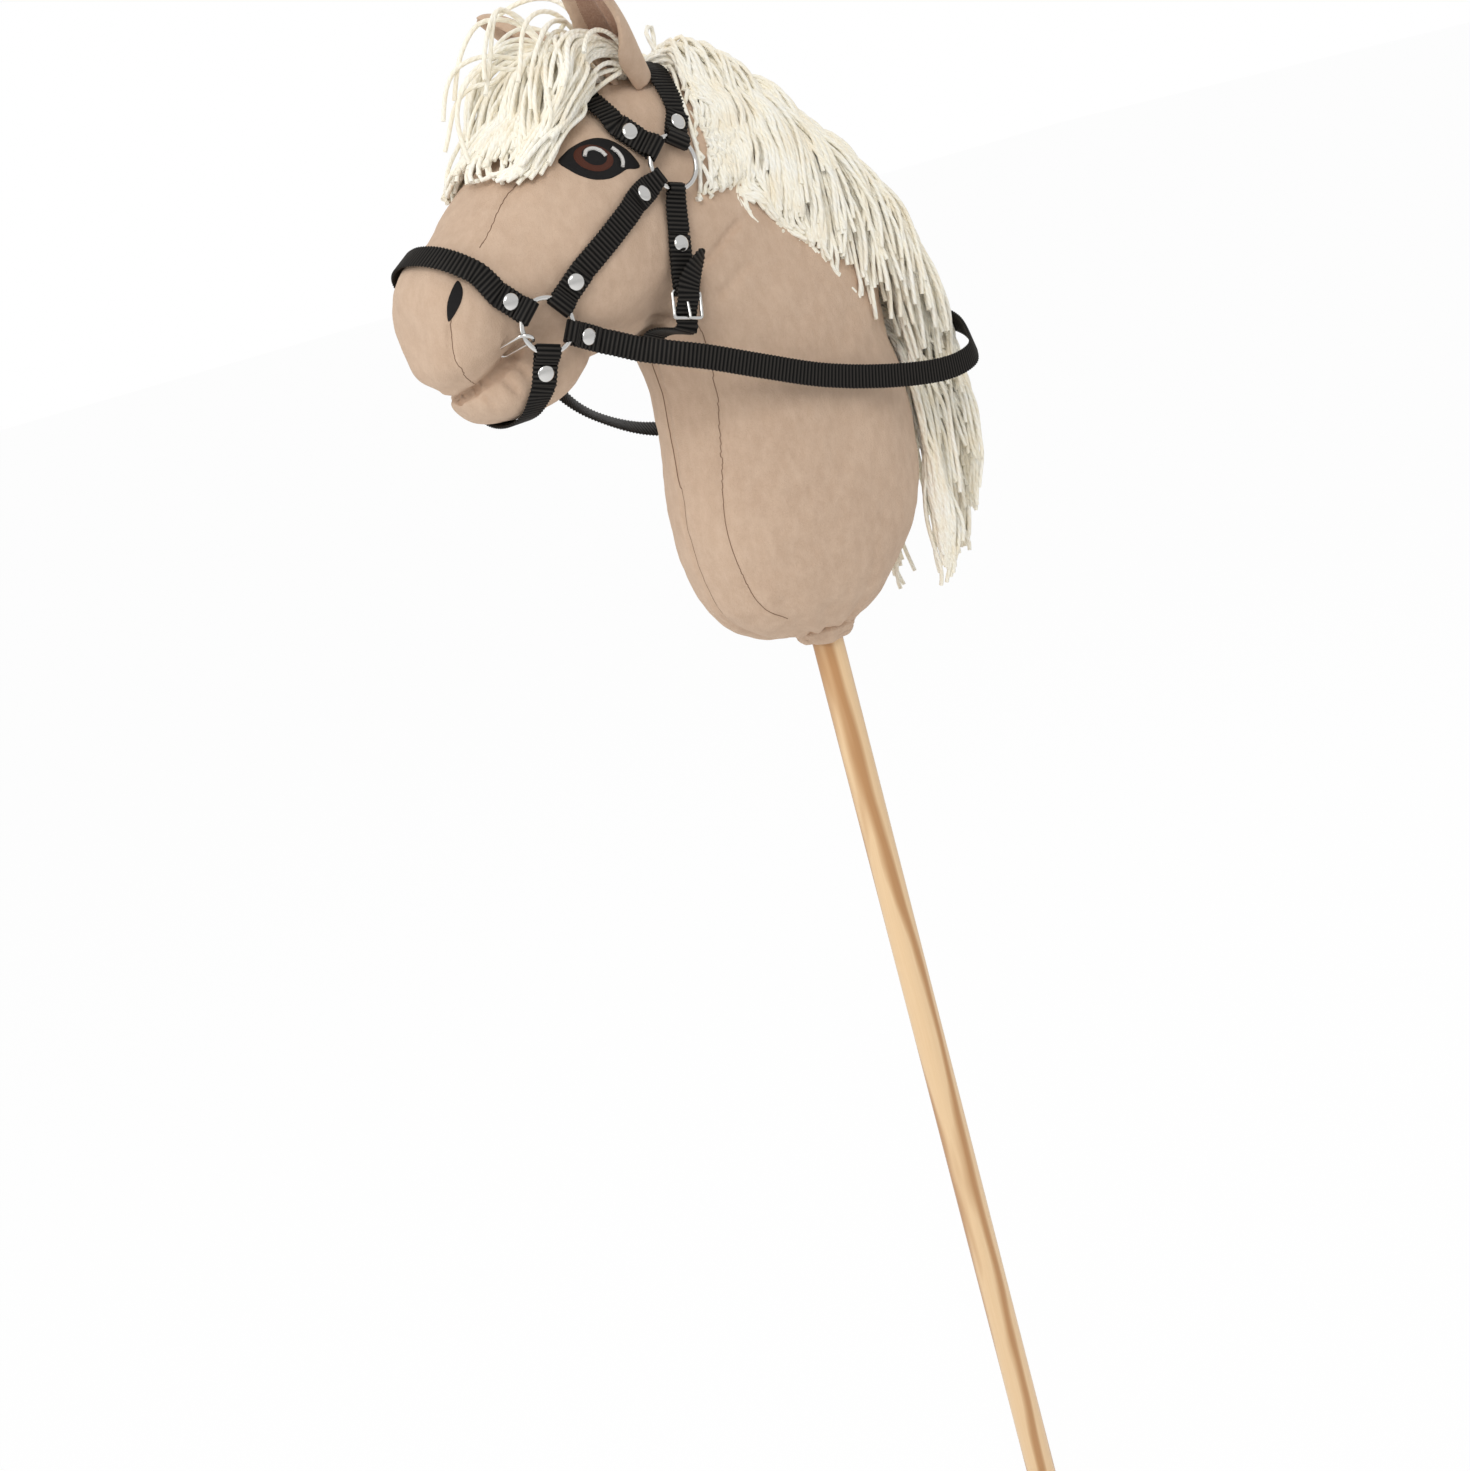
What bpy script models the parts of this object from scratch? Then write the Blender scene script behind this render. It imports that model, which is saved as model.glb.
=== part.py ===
"""A hobby horse: a stuffed fabric horse's head on a wooden stick, with a webbing bridle.

The stick stands along +Z with its foot at the origin. The horse looks along -X, and
its left side, where the bridle is buckled, faces -Y. Lengths are in metres.
"""

import math

import bmesh
import bpy
import numpy as np
from mathutils import Matrix, Vector
from mathutils.bvhtree import BVHTree

# Clearance between pieces that touch
GAP = 0.0003

# Stick, and the peg across its top that keeps the head from turning on it
STICK_DIAMETER = 0.020
STICK_BELOW_NECK = 0.650
STICK_IN_NECK = 0.280
STICK_CHAMFER = 0.0015
PEG_DIAMETER = 0.008
PEG_LENGTH = 0.064
PEG_BELOW_STICK_TOP = 0.030

# Gathered hem of the neck and the cord that ties it to the stick
HEM_WALL = 0.005
HEM_DROP = 0.004
HEM_RISE = 0.014
TIE_DIAMETER = 0.003
TIE_ABOVE_NECK = 0.004

# Stuffed neck: height, centre towards the back, half depth and half width, in
# millimetres, and how square the slice is, where 2 is an ellipse
NECK_STATIONS = [
    (4, -2, 13, 13, 2.1),
    (8, -4, 31, 25, 2.1),
    (17, -7, 49, 37, 2.1),
    (33, -6, 66, 50, 2.1),
    (58, 0, 80, 59, 2.1),
    (92, 5, 88, 63, 2.1),
    (144, 10, 86, 62, 2.1),
    (176, 10, 83, 59, 2.1),
    (203, 8, 86, 56, 2.4),
    (228, 1, 94, 53, 3.0),
    (258, -6, 92, 51, 3.4),
    (290, -16, 80, 48, 3.4),
    (318, -27, 63, 43, 3.0),
    (340, -36, 44, 33, 2.6),
    (354, -40, 24, 18, 2.2),
    (360, -42, 8, 6, 2.2),
]

# Stuffed head: distance along its axis, height of the centre above the axis, half
# height and half width, in millimetres; the axis drops towards the nose
HEAD_AXIS_AT = (-50.0, 290.0)
HEAD_DROP_DEGREES = 25.0
HEAD_STATIONS = [
    (-34, 30, 14, 10),
    (-26, 27, 30, 19),
    (-10, 20, 50, 31),
    (6, 13, 62, 40),
    (28, 9, 71, 52),
    (54, 9, 70, 59),
    (80, 12, 62, 56),
    (104, 15, 55, 49),
    (122, 21, 44, 44),
    (137, 28, 36, 42),
    (150, 27.5, 34.5, 40),
    (161, 24, 31, 35),
    (168, 21, 25, 28),
    (172, 19, 15, 17),
    (173, 18, 5, 6),
]
HEAD_POWER = 2.2

# Lower jaw, on the same axis
JAW_STATIONS = [
    (88, -24, 5, 10),
    (94, -25, 13, 24),
    (108, -25, 19, 36),
    (126, -25, 22, 38),
    (146, -23, 20, 35),
    (160, -20, 17, 30),
    (171, -17, 12, 22),
    (176, -15, 5, 9),
]
JAW_POWER = 2.2

# Ears: height up the ear, half width, depth of the cup and fold inwards, in millimetres
EAR_ROOT = (-62.0, 33.0, 354.0)
EAR_TIP = (-94.0, 55.0, 407.0)
EAR_FACES = (-0.72, 0.62, 0.1)
EAR_STATIONS = [
    (0.0, 13, 10),
    (0.16, 15, 12),
    (0.38, 16, 11),
    (0.62, 14, 9),
    (0.82, 10, 6),
    (0.95, 5.5, 3.5),
    (1.0, 2.2, 1.4),
]
EAR_WALL = 0.0035

# Mane: height, front edge, back edge, half width, in millimetres
MANE_STATIONS = [
    (-8, 84, 92, 8),
    (8, 74, 112, 20),
    (34, 80, 122, 30),
    (60, 84, 127, 36),
    (88, 86, 134, 42),
    (120, 84, 137, 46),
    (150, 72, 139, 52),
    (176, 58, 137, 57),
    (206, 36, 130, 60),
    (236, 12, 121, 60),
    (264, -12, 106, 58),
    (292, -40, 84, 54),
    (322, -44, 50, 46),
    (350, -40, 18, 32),
    (366, -30, -2, 18),
    (370, -24, -10, 8),
]
MANE_POWER = 3.2
HAIR_FROM_CROWN = 0.0015

# Forelock: centre of each slice, half thickness and half width, in millimetres
FORELOCK_STATIONS = [
    (-50, 366, 5, 9),
    (-56, 374, 13, 15),
    (-72, 380, 21, 19),
    (-96, 382, 22, 28),
    (-119, 369, 20, 41),
    (-137, 349, 17, 40),
    (-146, 331, 10, 33),
    (-149, 318, 4, 25),
]
FORELOCK_POWER = 2.2

# Embroidered eyes and nostrils
PATCH_THICKNESS = 0.0008
EYE_AT = (-101.0, 313.0)
EYE_LENGTH = 0.052
EYE_HEIGHT = 0.026
EYE_TILT_DEGREES = -18.0
NOSTRIL_AT = (-207.0, 261.0)
NOSTRIL_LENGTH = 0.022
NOSTRIL_HEIGHT = 0.0066
NOSTRIL_TILT_DEGREES = 56.0

# Webbing, folded round the rings and riveted
WEBBING_WIDTH = 0.0144
WEBBING_THICKNESS = 0.0012
FOLD_SPREAD = 0.008
TAIL_PAST_RIVET = 0.0068
STRAP_STEP = 0.008
FACET_RISE = 0.0005
BELT_OFF_END = 0.008
MOST_LEAN_DEGREES = 12.0

# Rivets
RIVET_CAP_DIAMETER = 0.0096
RIVET_CAP_HEIGHT = 0.0018
RIVET_SHANK_DIAMETER = 0.003
RIVET_BACK_DIAMETER = 0.0076
RIVET_BACK_HEIGHT = 0.0008

# Distance of each rivet from the fold round its ring, and the straps that their ring pinches
RIVETS_FROM_FOLD = {
    "noseband": 0.011,
    "chin": 0.013,
    "rein": 0.0125,
    "cheek_lower": 0.0155,
    "cheek_upper": 0.017,
    "browband": 0.017,
    "crown": 0.013,
    "throat": 0.013,
    "throat_loop": 0.031,
}
PINCHED_WIDTHS = {"cheek_upper": 0.010, "throat": 0.010, "throat_loop": 0.010, "rein": 0.012}

# Bridle rings
RING_BORE = 0.027
RING_WIRE = 0.003
RING_PLAY = 0.0005
RING_REACH = 0.019
MOUTH_RING_AT = (-162.0, 236.0)
MOUTH_RING_FACES = (-0.16, 1.0, 0.0)
TEMPLE_RING_AT = (-58.5, 300.5)
TEMPLE_RING_FACES = (0.0, 1.0, 0.12)

# Direction in which each strap leaves its ring, from the nose-to-back line, in degrees
MOUTH_ANGLES = {"noseband": 134.0, "cheek": 39.0, "rein": -28.0, "chin": -107.0}
TEMPLE_ANGLES = {"browband": 130.0, "crown": 57.0, "cheek": 204.0, "throat": 255.0}

# Where each belt crosses the middle of the head, in millimetres
NOSEBAND_TOP = (-205.0, 287.0)
CHIN_BOTTOM = (-176.0, 186.0)
BROWBAND_TOP = (-95.0, 363.0)
CROWN_TOP = (-26.0, 366.0)
THROAT_BOTTOM = (-88.0, 200.0)

# Bit
BIT_BAR_DIAMETER = 0.004
BIT_EYE_WIRE = 0.0022
BIT_EYE_ANGLE = 194.0
BIT_EYE_TILT_DEGREES = 45.0
BIT_CORNER_AT = (-184.0, 227.0)
BIT_CORNER_SINK = 0.003
BIT_EYE_PLAY = 0.0011

# Buckle on the near side of the throatlatch
BUCKLE_WIRE = 0.0022
BUCKLE_LENGTH = 0.015
BUCKLE_PLAY = 0.0008
BUCKLE_CORNER = 0.0018
BUCKLE_FROM_FOLD = 0.058
LOOP_TAILS = -0.0065
PRONG_DIAMETER = 0.0018
PRONG_WALL = 0.0008
PRONG_WIDTH = 0.0024
PRONG_OVERHANG = 0.0016
PRONG_SLOT_LENGTH = 0.0088
PRONG_SLOT_FROM_BAR = 0.0059
TONGUE_LENGTH = 0.022
TONGUE_DRIFT = 0.010

# Reins: the line they flex on behind the rings, and their hand-chosen route in
# millimetres, from the near side round behind the mane to the far side
REIN_FLEX_FROM_RING = 0.046
REIN_FLARE = 0.006
REIN_STEP = 0.012
REIN_ROUTE = [
    (-100, -68, 202),
    (-80, -72, 194),
    (-50, -74, 181),
    (-8, -75, 164),
    (38, -75, 151),
    (84, -71, 143),
    (116, -62, 144),
    (131, -48, 151),
    (142, -26, 161),
    (146, 8, 168),
    (136, 42, 169),
    (122, 64, 165),
    (84, 75, 154),
    (38, 79, 147),
    (-8, 79, 143),
    (-44, 77, 150),
    (-78, 74, 168),
    (-100, 68, 188),
]
REIN_FAR_TWIST_DEGREES = 50.0

MM = 0.001
STICK_RADIUS = STICK_DIAMETER / 2
RING_RADIUS = (RING_BORE + RING_WIRE) / 2
LAYER = WEBBING_THICKNESS + GAP
STRAP_ABOVE_SKIN = RIVET_BACK_HEIGHT + 2 * GAP + FACET_RISE
SKIN_SEARCH = 0.040
SKIN_BLEND = 0.008
SIDES = {"left": -1, "right": 1}


def clear_scene():
    for obj in list(bpy.data.objects):
        bpy.data.objects.remove(obj, do_unlink=True)


def finish(name, colour, roughness, metallic=0.0):
    material = bpy.data.materials.new(name)
    material.use_nodes = True
    shader = material.node_tree.nodes["Principled BSDF"]
    shader.inputs["Base Color"].default_value = (*colour, 1.0)
    shader.inputs["Roughness"].default_value = roughness
    shader.inputs["Metallic"].default_value = metallic
    return material


def add_object(name, bm, material, sharp_degrees=40):
    """Put a bmesh in the scene as a named, smooth-shaded object."""
    bmesh.ops.recalc_face_normals(bm, faces=bm.faces)
    mesh = bpy.data.meshes.new(name)
    bm.to_mesh(mesh)
    bm.free()
    mesh.shade_smooth()
    mesh.set_sharp_from_angle(angle=math.radians(sharp_degrees))
    mesh.materials.append(material)
    obj = bpy.data.objects.new(name, mesh)
    bpy.context.scene.collection.objects.link(obj)
    return obj


def hide_cutter(obj):
    obj.hide_render = True
    obj.display_type = "WIRE"
    return obj


def move_origin(obj, point):
    """Give an object its origin on its joint's axis."""
    obj.data.transform(Matrix.Translation(-point))
    obj.location = point


def boolean(obj, other, operation="DIFFERENCE", solver="EXACT"):
    step = obj.modifiers.new(operation.lower(), "BOOLEAN")
    step.operation = operation
    step.object = other
    step.solver = solver


def place(x, y, z):
    """A point given in millimetres from the bottom of the neck."""
    return Vector((x * MM, y * MM, z * MM + STICK_BELOW_NECK))


def curve_through(rows, count, trim=0):
    """Rows on a smooth curve through the given rows, less some rows at both ends."""
    rows = np.array(rows, dtype=float)
    padded = np.vstack([2 * rows[0] - rows[1], rows, 2 * rows[-1] - rows[-2]])
    curve = []
    for along in np.linspace(trim, len(rows) - 1 - trim, count):
        i = min(int(along), len(rows) - 2)
        t = along - i
        a, b, c, d = padded[i : i + 4]
        cubic = (3 * b - a - 3 * c + d) * t**3
        square = (2 * a - 5 * b + 4 * c - d) * t**2
        curve.append(0.5 * (2 * b + (c - a) * t + square + cubic))
    return np.array(curve)


def even_steps(rows, step):
    """The same line with points an even step apart, measured on its first 3 numbers."""
    rows = np.array(rows, dtype=float)
    lengths = np.linalg.norm(np.diff(rows[:, :3], axis=0), axis=1)
    along = np.concatenate([[0], np.cumsum(lengths)])
    count = max(2, round(along[-1] / step) + 1)
    marks = np.linspace(0, along[-1], count)
    return np.stack([np.interp(marks, along, column) for column in rows.T], axis=1)


def ring_next(bm, ring):
    """Extrude a loop of vertices and give the new loop in the same order."""
    edges = [bm.edges.get((a, b)) for a, b in zip(ring, ring[1:] + ring[:1])]
    made = bmesh.ops.extrude_edge_only(bm, edges=edges)["geom"]
    fresh = {g for g in made if isinstance(g, bmesh.types.BMVert)}
    return [next(e.other_vert(v) for e in v.link_edges if e.other_vert(v) in fresh) for v in ring]


def loft(rings, closed=False):
    """A skin extruded from ring to ring, capped at both ends or joined end to end."""
    bm = bmesh.new()
    count = len(rings[0])
    ring = bmesh.ops.create_circle(bm, segments=count, radius=1, cap_ends=not closed)["verts"]
    first = ring
    for index, points in enumerate(rings):
        if index:
            ring = ring_next(bm, ring)
        for vertex, point in zip(ring, points):
            vertex.co = point
    ends = [bm.edges.get((a, b)) for a, b in zip(ring, ring[1:] + ring[:1])]
    if closed:
        start = [bm.edges.get((a, b)) for a, b in zip(first, first[1:] + first[:1])]
        bmesh.ops.bridge_loops(bm, edges=ends + start)
    else:
        bmesh.ops.contextual_create(bm, geom=ends)
    return bm


def split_alike(bm):
    """Split all squares the same way, so that a grown copy of a body stays clear of it."""
    squares = [face for face in bm.faces if len(face.verts) == 4]
    bmesh.ops.triangulate(bm, faces=squares, quad_method="FIXED")
    return bm


def oval(centre, across, up, half_across, half_up, power, sides):
    """Points of an oval; a power above 2 squares it off."""
    points = []
    for k in range(sides):
        angle = 2 * math.pi * (k + 0.5) / sides
        c = math.cos(angle)
        s = math.sin(angle)
        x = math.copysign(abs(c) ** (2 / power), c)
        y = math.copysign(abs(s) ** (2 / power), s)
        points.append(centre + across * (half_across * x) + up * (half_up * y))
    return points


def neck_rings(grow=0.0, sides=26, count=21):
    rings = []
    for z, x, depth, width, power in curve_through(NECK_STATIONS, count):
        centre = place(x, 0, z)
        half_depth = depth * MM + grow
        half_width = width * MM + grow
        rings.append(oval(centre, Vector((1, 0, 0)), Vector((0, 1, 0)), half_depth, half_width, power, sides))
    rings[0] = [p - Vector((0, 0, grow)) for p in rings[0]]
    rings[-1] = [p + Vector((0, 0, grow)) for p in rings[-1]]
    return rings


def axis_rings(stations, power, grow, sides, count):
    """Rings square to the head's axis."""
    drop = math.radians(HEAD_DROP_DEGREES)
    forward = Vector((-math.cos(drop), 0, -math.sin(drop)))
    up = Vector((-math.sin(drop), 0, math.cos(drop)))
    start = place(HEAD_AXIS_AT[0], 0, HEAD_AXIS_AT[1])
    rings = []
    for along, above, height, width in curve_through(stations, count):
        centre = start + forward * (along * MM) + up * (above * MM)
        half_width = max(width * MM + grow, 0.001)
        half_height = max(height * MM + grow, 0.001)
        rings.append(oval(centre, Vector((0, 1, 0)), up, half_width, half_height, power, sides))
    rings[0] = [p - forward * grow for p in rings[0]]
    rings[-1] = [p + forward * grow for p in rings[-1]]
    return rings


def head_rings(grow=0.0):
    return axis_rings(HEAD_STATIONS, HEAD_POWER, grow, 26, 21)


def jaw_rings(grow=0.0):
    return axis_rings(JAW_STATIONS, JAW_POWER, grow, 20, 11)


class Skin:
    """The outer surface of the stuffed pieces, which the bridle lies on."""

    def __init__(self):
        self.trees = []
        for rings in (neck_rings(), head_rings(), jaw_rings()):
            bm = split_alike(loft(rings))
            bmesh.ops.recalc_face_normals(bm, faces=bm.faces)
            self.trees.append(BVHTree.FromBMesh(bm))
            bm.free()

    def from_outside(self, inner, direction):
        """The outermost surface point seen from an inner point along a direction."""
        reach = 0.4
        hits = [tree.ray_cast(inner + direction * reach, -direction, reach) for tree in self.trees]
        found = [hit for hit in hits if hit[0]]
        return min(found, key=lambda hit: hit[3])[0] if found else None

    def clearance(self, point):
        """Height of a point above the surface, and the surface's direction there."""
        heights = []
        for tree in self.trees:
            hit, normal, _, distance = tree.find_nearest(point)
            heights.append((math.copysign(distance, (point - hit).dot(normal)), normal))
        lowest = min(height for height, _ in heights)
        shares = [(math.exp((lowest - height) / SKIN_BLEND), normal) for height, normal in heights]
        return lowest, sum((normal * share for share, normal in shares), Vector()).normalized()


class Ring:
    """A bridle ring lying on the side of the head."""

    def __init__(self, skin, at, faces, angles, side):
        self.side = side
        self.normal = Vector((faces[0], side * faces[1], faces[2])).normalized()
        inner = place(at[0], 0, at[1])
        outward = Vector((0, side, 0))
        hit = skin.from_outside(inner, outward)
        highest = 0.0
        for degrees in angles:
            along = self.direction(degrees)
            across = along.cross(self.normal)
            for share, edge in ((0.5, 0), (1, 0), (0.75, -0.5), (0.75, 0.5)):
                reach = along * (RING_REACH * share) + across * (WEBBING_WIDTH * edge)
                point = skin.from_outside(inner + Vector((reach.x, 0, reach.z)), outward)
                highest = max(highest, (point - hit).dot(self.normal))
        under_wire = RING_WIRE / 2 + RING_PLAY + WEBBING_THICKNESS + STRAP_ABOVE_SKIN
        self.centre = hit + self.normal * (highest + under_wire)

    def direction(self, degrees):
        """A direction in the ring's plane; 0 is towards the back, 90 is up."""
        turn = math.radians(degrees)
        flat = Vector((math.cos(turn), 0, math.sin(turn)))
        return (flat - self.normal * flat.dot(self.normal)).normalized()

    def fold_centre(self, degrees, sag):
        """The middle of the tunnel that a strap makes round the wire."""
        return self.centre + self.direction(degrees) * (RING_RADIUS - sag)


class Strap:
    """A webbing strap: stations of position, outward direction and width."""

    def __init__(self, positions, normals, widths=None):
        self.positions = positions
        self.normals = normals
        self.widths = widths or [WEBBING_WIDTH] * len(positions)
        self.set_tangents = [None] * len(positions)

    def tangent(self, i):
        if self.set_tangents[i]:
            return self.set_tangents[i]
        before = self.positions[max(i - 1, 0)]
        after = self.positions[min(i + 1, len(self.positions) - 1)]
        return (after - before).normalized()

    def at(self, mark):
        """Position and outward direction at a distance along."""
        lengths = arc_lengths(self.positions)
        i = max(k for k, length in enumerate(lengths) if length <= mark)
        i = min(i, len(lengths) - 2)
        share = (mark - lengths[i]) / (lengths[i + 1] - lengths[i])
        point = self.positions[i].lerp(self.positions[i + 1], share)
        normal = self.normals[i].lerp(self.normals[i + 1], share).normalized()
        return point, normal

    def part(self, start, end):
        """The stretch between two distances along the strap."""
        lengths = arc_lengths(self.positions)
        inside = [i for i, length in enumerate(lengths) if start + 0.001 < length < end - 0.001]
        first = self.at(start)
        last = self.at(end)
        positions = [first[0], *(self.positions[i] for i in inside), last[0]]
        normals = [first[1], *(self.normals[i] for i in inside), last[1]]
        widths = [WEBBING_WIDTH, *(self.widths[i] for i in inside), WEBBING_WIDTH]
        if start == 0:
            widths[0] = self.widths[0]
        if end == lengths[-1]:
            widths[-1] = self.widths[-1]
        return Strap(positions, normals, widths)

    def rings(self, grow=0.0):
        rings = []
        last = len(self.positions) - 1
        for i, (point, normal, width) in enumerate(zip(self.positions, self.normals, self.widths)):
            tangent = self.tangent(i)
            across = tangent.cross(normal).normalized()
            out = across.cross(tangent).normalized()
            end = -grow if i == 0 else grow if i == last else 0.0
            centre = point + tangent * end
            half = across * (width / 2 + grow)
            up = out * (WEBBING_THICKNESS / 2 + grow)
            rings.append([centre - half - up, centre + half - up, centre + half + up, centre - half + up])
        return rings


def round_end(radius, steps=5):
    """Distances along and widths of a strap's rounded end, from the tip inwards."""
    rows = []
    for k in range(steps):
        turn = math.radians(8 + (90 - 8) * k / steps)
        rows.append((radius - radius * math.cos(turn), 2 * radius * math.sin(turn)))
    return rows


def smooth_vectors(vectors, rounds=3):
    for _ in range(rounds):
        padded = [vectors[0], *vectors, vectors[-1]]
        vectors = [(a + b * 2 + c).normalized() for a, b, c in zip(padded, padded[1:], padded[2:])]
    return vectors


def lay_on_skin(skin, points, height):
    """Outward directions for a line of points, and the points moved clear of the skin."""
    normals = smooth_vectors([skin.clearance(p)[1] for p in points])
    half = WEBBING_WIDTH / 2
    laid = []
    for i, (point, normal) in enumerate(zip(points, normals)):
        before = points[max(i - 1, 0)]
        after = points[min(i + 1, len(points) - 1)]
        tangent = (after - before).normalized()
        normal = (normal - tangent * normal.dot(tangent)).normalized()
        across = tangent.cross(normal)
        for _ in range(4):
            lowest = min(skin.clearance(point + across * (half * k))[0] for k in (-1, 0, 1))
            short = height + WEBBING_THICKNESS / 2 - lowest
            point = point + normal * max(short, 0.0)
        laid.append(point)
        normals[i] = normal
    return laid, normals


def lift_clear(skin, strap, height, ends):
    """Raise the stations that came closer to the skin than the given height."""
    half = WEBBING_WIDTH / 2
    for i in range(ends, len(strap.normals) - ends):
        normal = strap.normals[i]
        across = strap.tangent(i).cross(normal)
        for _ in range(4):
            point = strap.positions[i]
            lowest = min(skin.clearance(point + across * (half * k))[0] for k in (-1, 0, 1))
            strap.positions[i] = point + normal * max(height + WEBBING_THICKNESS / 2 - lowest, 0.0)


def ease(value):
    value = min(max(value, 0.0), 1.0)
    return value * value * (3 - 2 * value)


def arc_lengths(points):
    lengths = [0.0]
    for a, b in zip(points, points[1:]):
        lengths.append(lengths[-1] + (b - a).length)
    return lengths


class FoldEnd:
    """A strap's end: folded round a round bar from behind and riveted on itself."""

    BLEND = 0.016

    def __init__(self, centre, out, normal, tunnel, rivet_from, shoulder, width=WEBBING_WIDTH):
        self.fold = centre
        self.out = out
        self.normal = normal
        self.radius = tunnel + WEBBING_THICKNESS / 2
        self.rivet_from = rivet_from
        self.tail = rivet_from + TAIL_PAST_RIVET
        self.flat = self.tail + GAP
        self.shoulder = shoulder
        self.width = width
        self.spread = min(FOLD_SPREAD, rivet_from - RIVET_CAP_DIAMETER / 2 - GAP)

    def lean_on(self, skin):
        """Turn the strap's flat start about the bar until it comes down on the skin."""
        lean = math.radians(MOST_LEAN_DEGREES)
        across = self.out.cross(self.normal)
        under = self.fold - self.normal * self.radius
        for share in (0.2, 0.4, 0.6, 0.8, 1.0):
            for edge in (-0.5, 0.0, 0.5):
                reach = self.flat * share
                point = under + self.out * reach + across * (WEBBING_WIDTH * edge)
                hit = skin.from_outside(point - self.normal * SKIN_SEARCH, self.normal)
                if hit:
                    height = (point - hit).dot(self.normal) - WEBBING_THICKNESS / 2 - STRAP_ABOVE_SKIN
                    lean = min(lean, math.atan2(height, reach))
        out = self.out * math.cos(lean) - self.normal * math.sin(lean)
        self.normal = self.normal * math.cos(lean) + self.out * math.sin(lean)
        self.out = out

    def width_at(self, mark):
        """The strap's width, drawn in where it is pinched in the fold."""
        share = ease((mark - self.shoulder) / FOLD_SPREAD)
        return self.width + (WEBBING_WIDTH - self.width) * share

    def lead(self):
        """Guide points that the strap leaves the fold through."""
        under = self.fold - self.normal * self.radius
        return [under + self.out * (self.flat * share) for share in (0.0, 0.5, 1.0)]

    def settle(self, strap):
        """Bend the strap's first stations up to the plane under the bar."""
        lengths = arc_lengths(strap.positions)
        for i, length in enumerate(lengths):
            share = 1 - ease((length - self.flat) / self.BLEND)
            if share <= 0:
                break
            below = (self.fold - strap.positions[i]).dot(self.normal) - self.radius
            strap.positions[i] = strap.positions[i] + self.normal * (below * share)
            strap.normals[i] = strap.normals[i].lerp(self.normal, share).normalized()
            strap.widths[i] = self.width_at(length)

    def turn(self, strap):
        """Stations of the tail and the fold, from the tail's end to the fold's start."""
        positions = []
        normals = []
        tangents = []
        widths = []
        stations = arc_lengths(strap.positions)
        inside = [m for m in stations if self.spread + GAP < m < self.tail - GAP]
        marks = [self.tail, *inside[::-1], self.spread, self.shoulder]
        for mark in marks:
            point, normal = strap.at(mark)
            spread = max(0.0, (self.spread - mark) / (self.spread - self.shoulder))
            lift = LAYER + (2 * self.radius - LAYER) * spread
            positions.append(point + normal * lift)
            normals.append(-normal)
            tangents.append(-self.out if spread == 0 else None)
            widths.append(self.width_at(mark))
        for degrees in (90, 54, 18, -18, -54):
            turn = math.radians(degrees)
            arm = self.normal * math.sin(turn) - self.out * math.cos(turn)
            positions.append(self.fold + arm * self.radius)
            normals.append(-arm)
            tangents.append(None)
            widths.append(self.width)
        return positions, normals, tangents, widths


def ring_end(skin, ring, degrees, rivet, flat=0.0):
    """The fold of a strap round a bridle ring; the wire curves away from the strap's edges."""
    width = PINCHED_WIDTHS.get(rivet, WEBBING_WIDTH)
    sag = RING_RADIUS - math.sqrt(RING_RADIUS**2 - (width / 2) ** 2)
    tunnel = RING_WIRE / 2 + RING_PLAY
    fold = ring.fold_centre(degrees, sag)
    out = ring.direction(degrees)
    end = FoldEnd(fold, out, ring.normal, tunnel, RIVETS_FROM_FOLD[rivet], sag + tunnel / 2, width)
    end.flat = max(end.flat, flat)
    end.lean_on(skin)
    return end


def reverse(strap):
    return Strap(strap.positions[::-1], strap.normals[::-1], strap.widths[::-1])


def strap_between(skin, start, end, middle, height):
    """A strap from one end to the other over the skin."""
    guide = start.lead() + middle + end.lead()[::-1]
    curve = curve_through([(*p,) for p in guide], 12 * len(guide), trim=2)
    line = [Vector(p) for p in even_steps(curve, STRAP_STEP)]
    points, normals = lay_on_skin(skin, start.lead()[:2] + line + end.lead()[1::-1], height)
    strap = Strap(points, normals)
    start.settle(strap)
    strap = reverse(strap)
    end.settle(strap)
    strap = reverse(strap)
    lead = len(start.lead())
    lift_clear(skin, strap, height, lead)
    for i in range(lead, len(strap.normals) - lead):
        normal = strap.normals[i]
        tangent = strap.tangent(i)
        strap.normals[i] = (normal - tangent * normal.dot(tangent)).normalized()
    return strap


def fold_ends(strap, start=None, end=None):
    """The strap with a folded tail at each end that has a ring."""
    positions = list(strap.positions)
    normals = list(strap.normals)
    tangents = [None] * len(positions)
    widths = list(strap.widths)
    if start:
        more = start.turn(strap)
        positions = more[0] + positions
        normals = more[1] + normals
        tangents = more[2] + tangents
        widths = more[3] + widths
    if end:
        more = end.turn(reverse(strap))
        positions += more[0][::-1]
        normals += more[1][::-1]
        tangents += [t and -t for t in more[2][::-1]]
        widths += more[3][::-1]
    folded = Strap(positions, normals, widths)
    folded.set_tangents = tangents
    return folded


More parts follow.
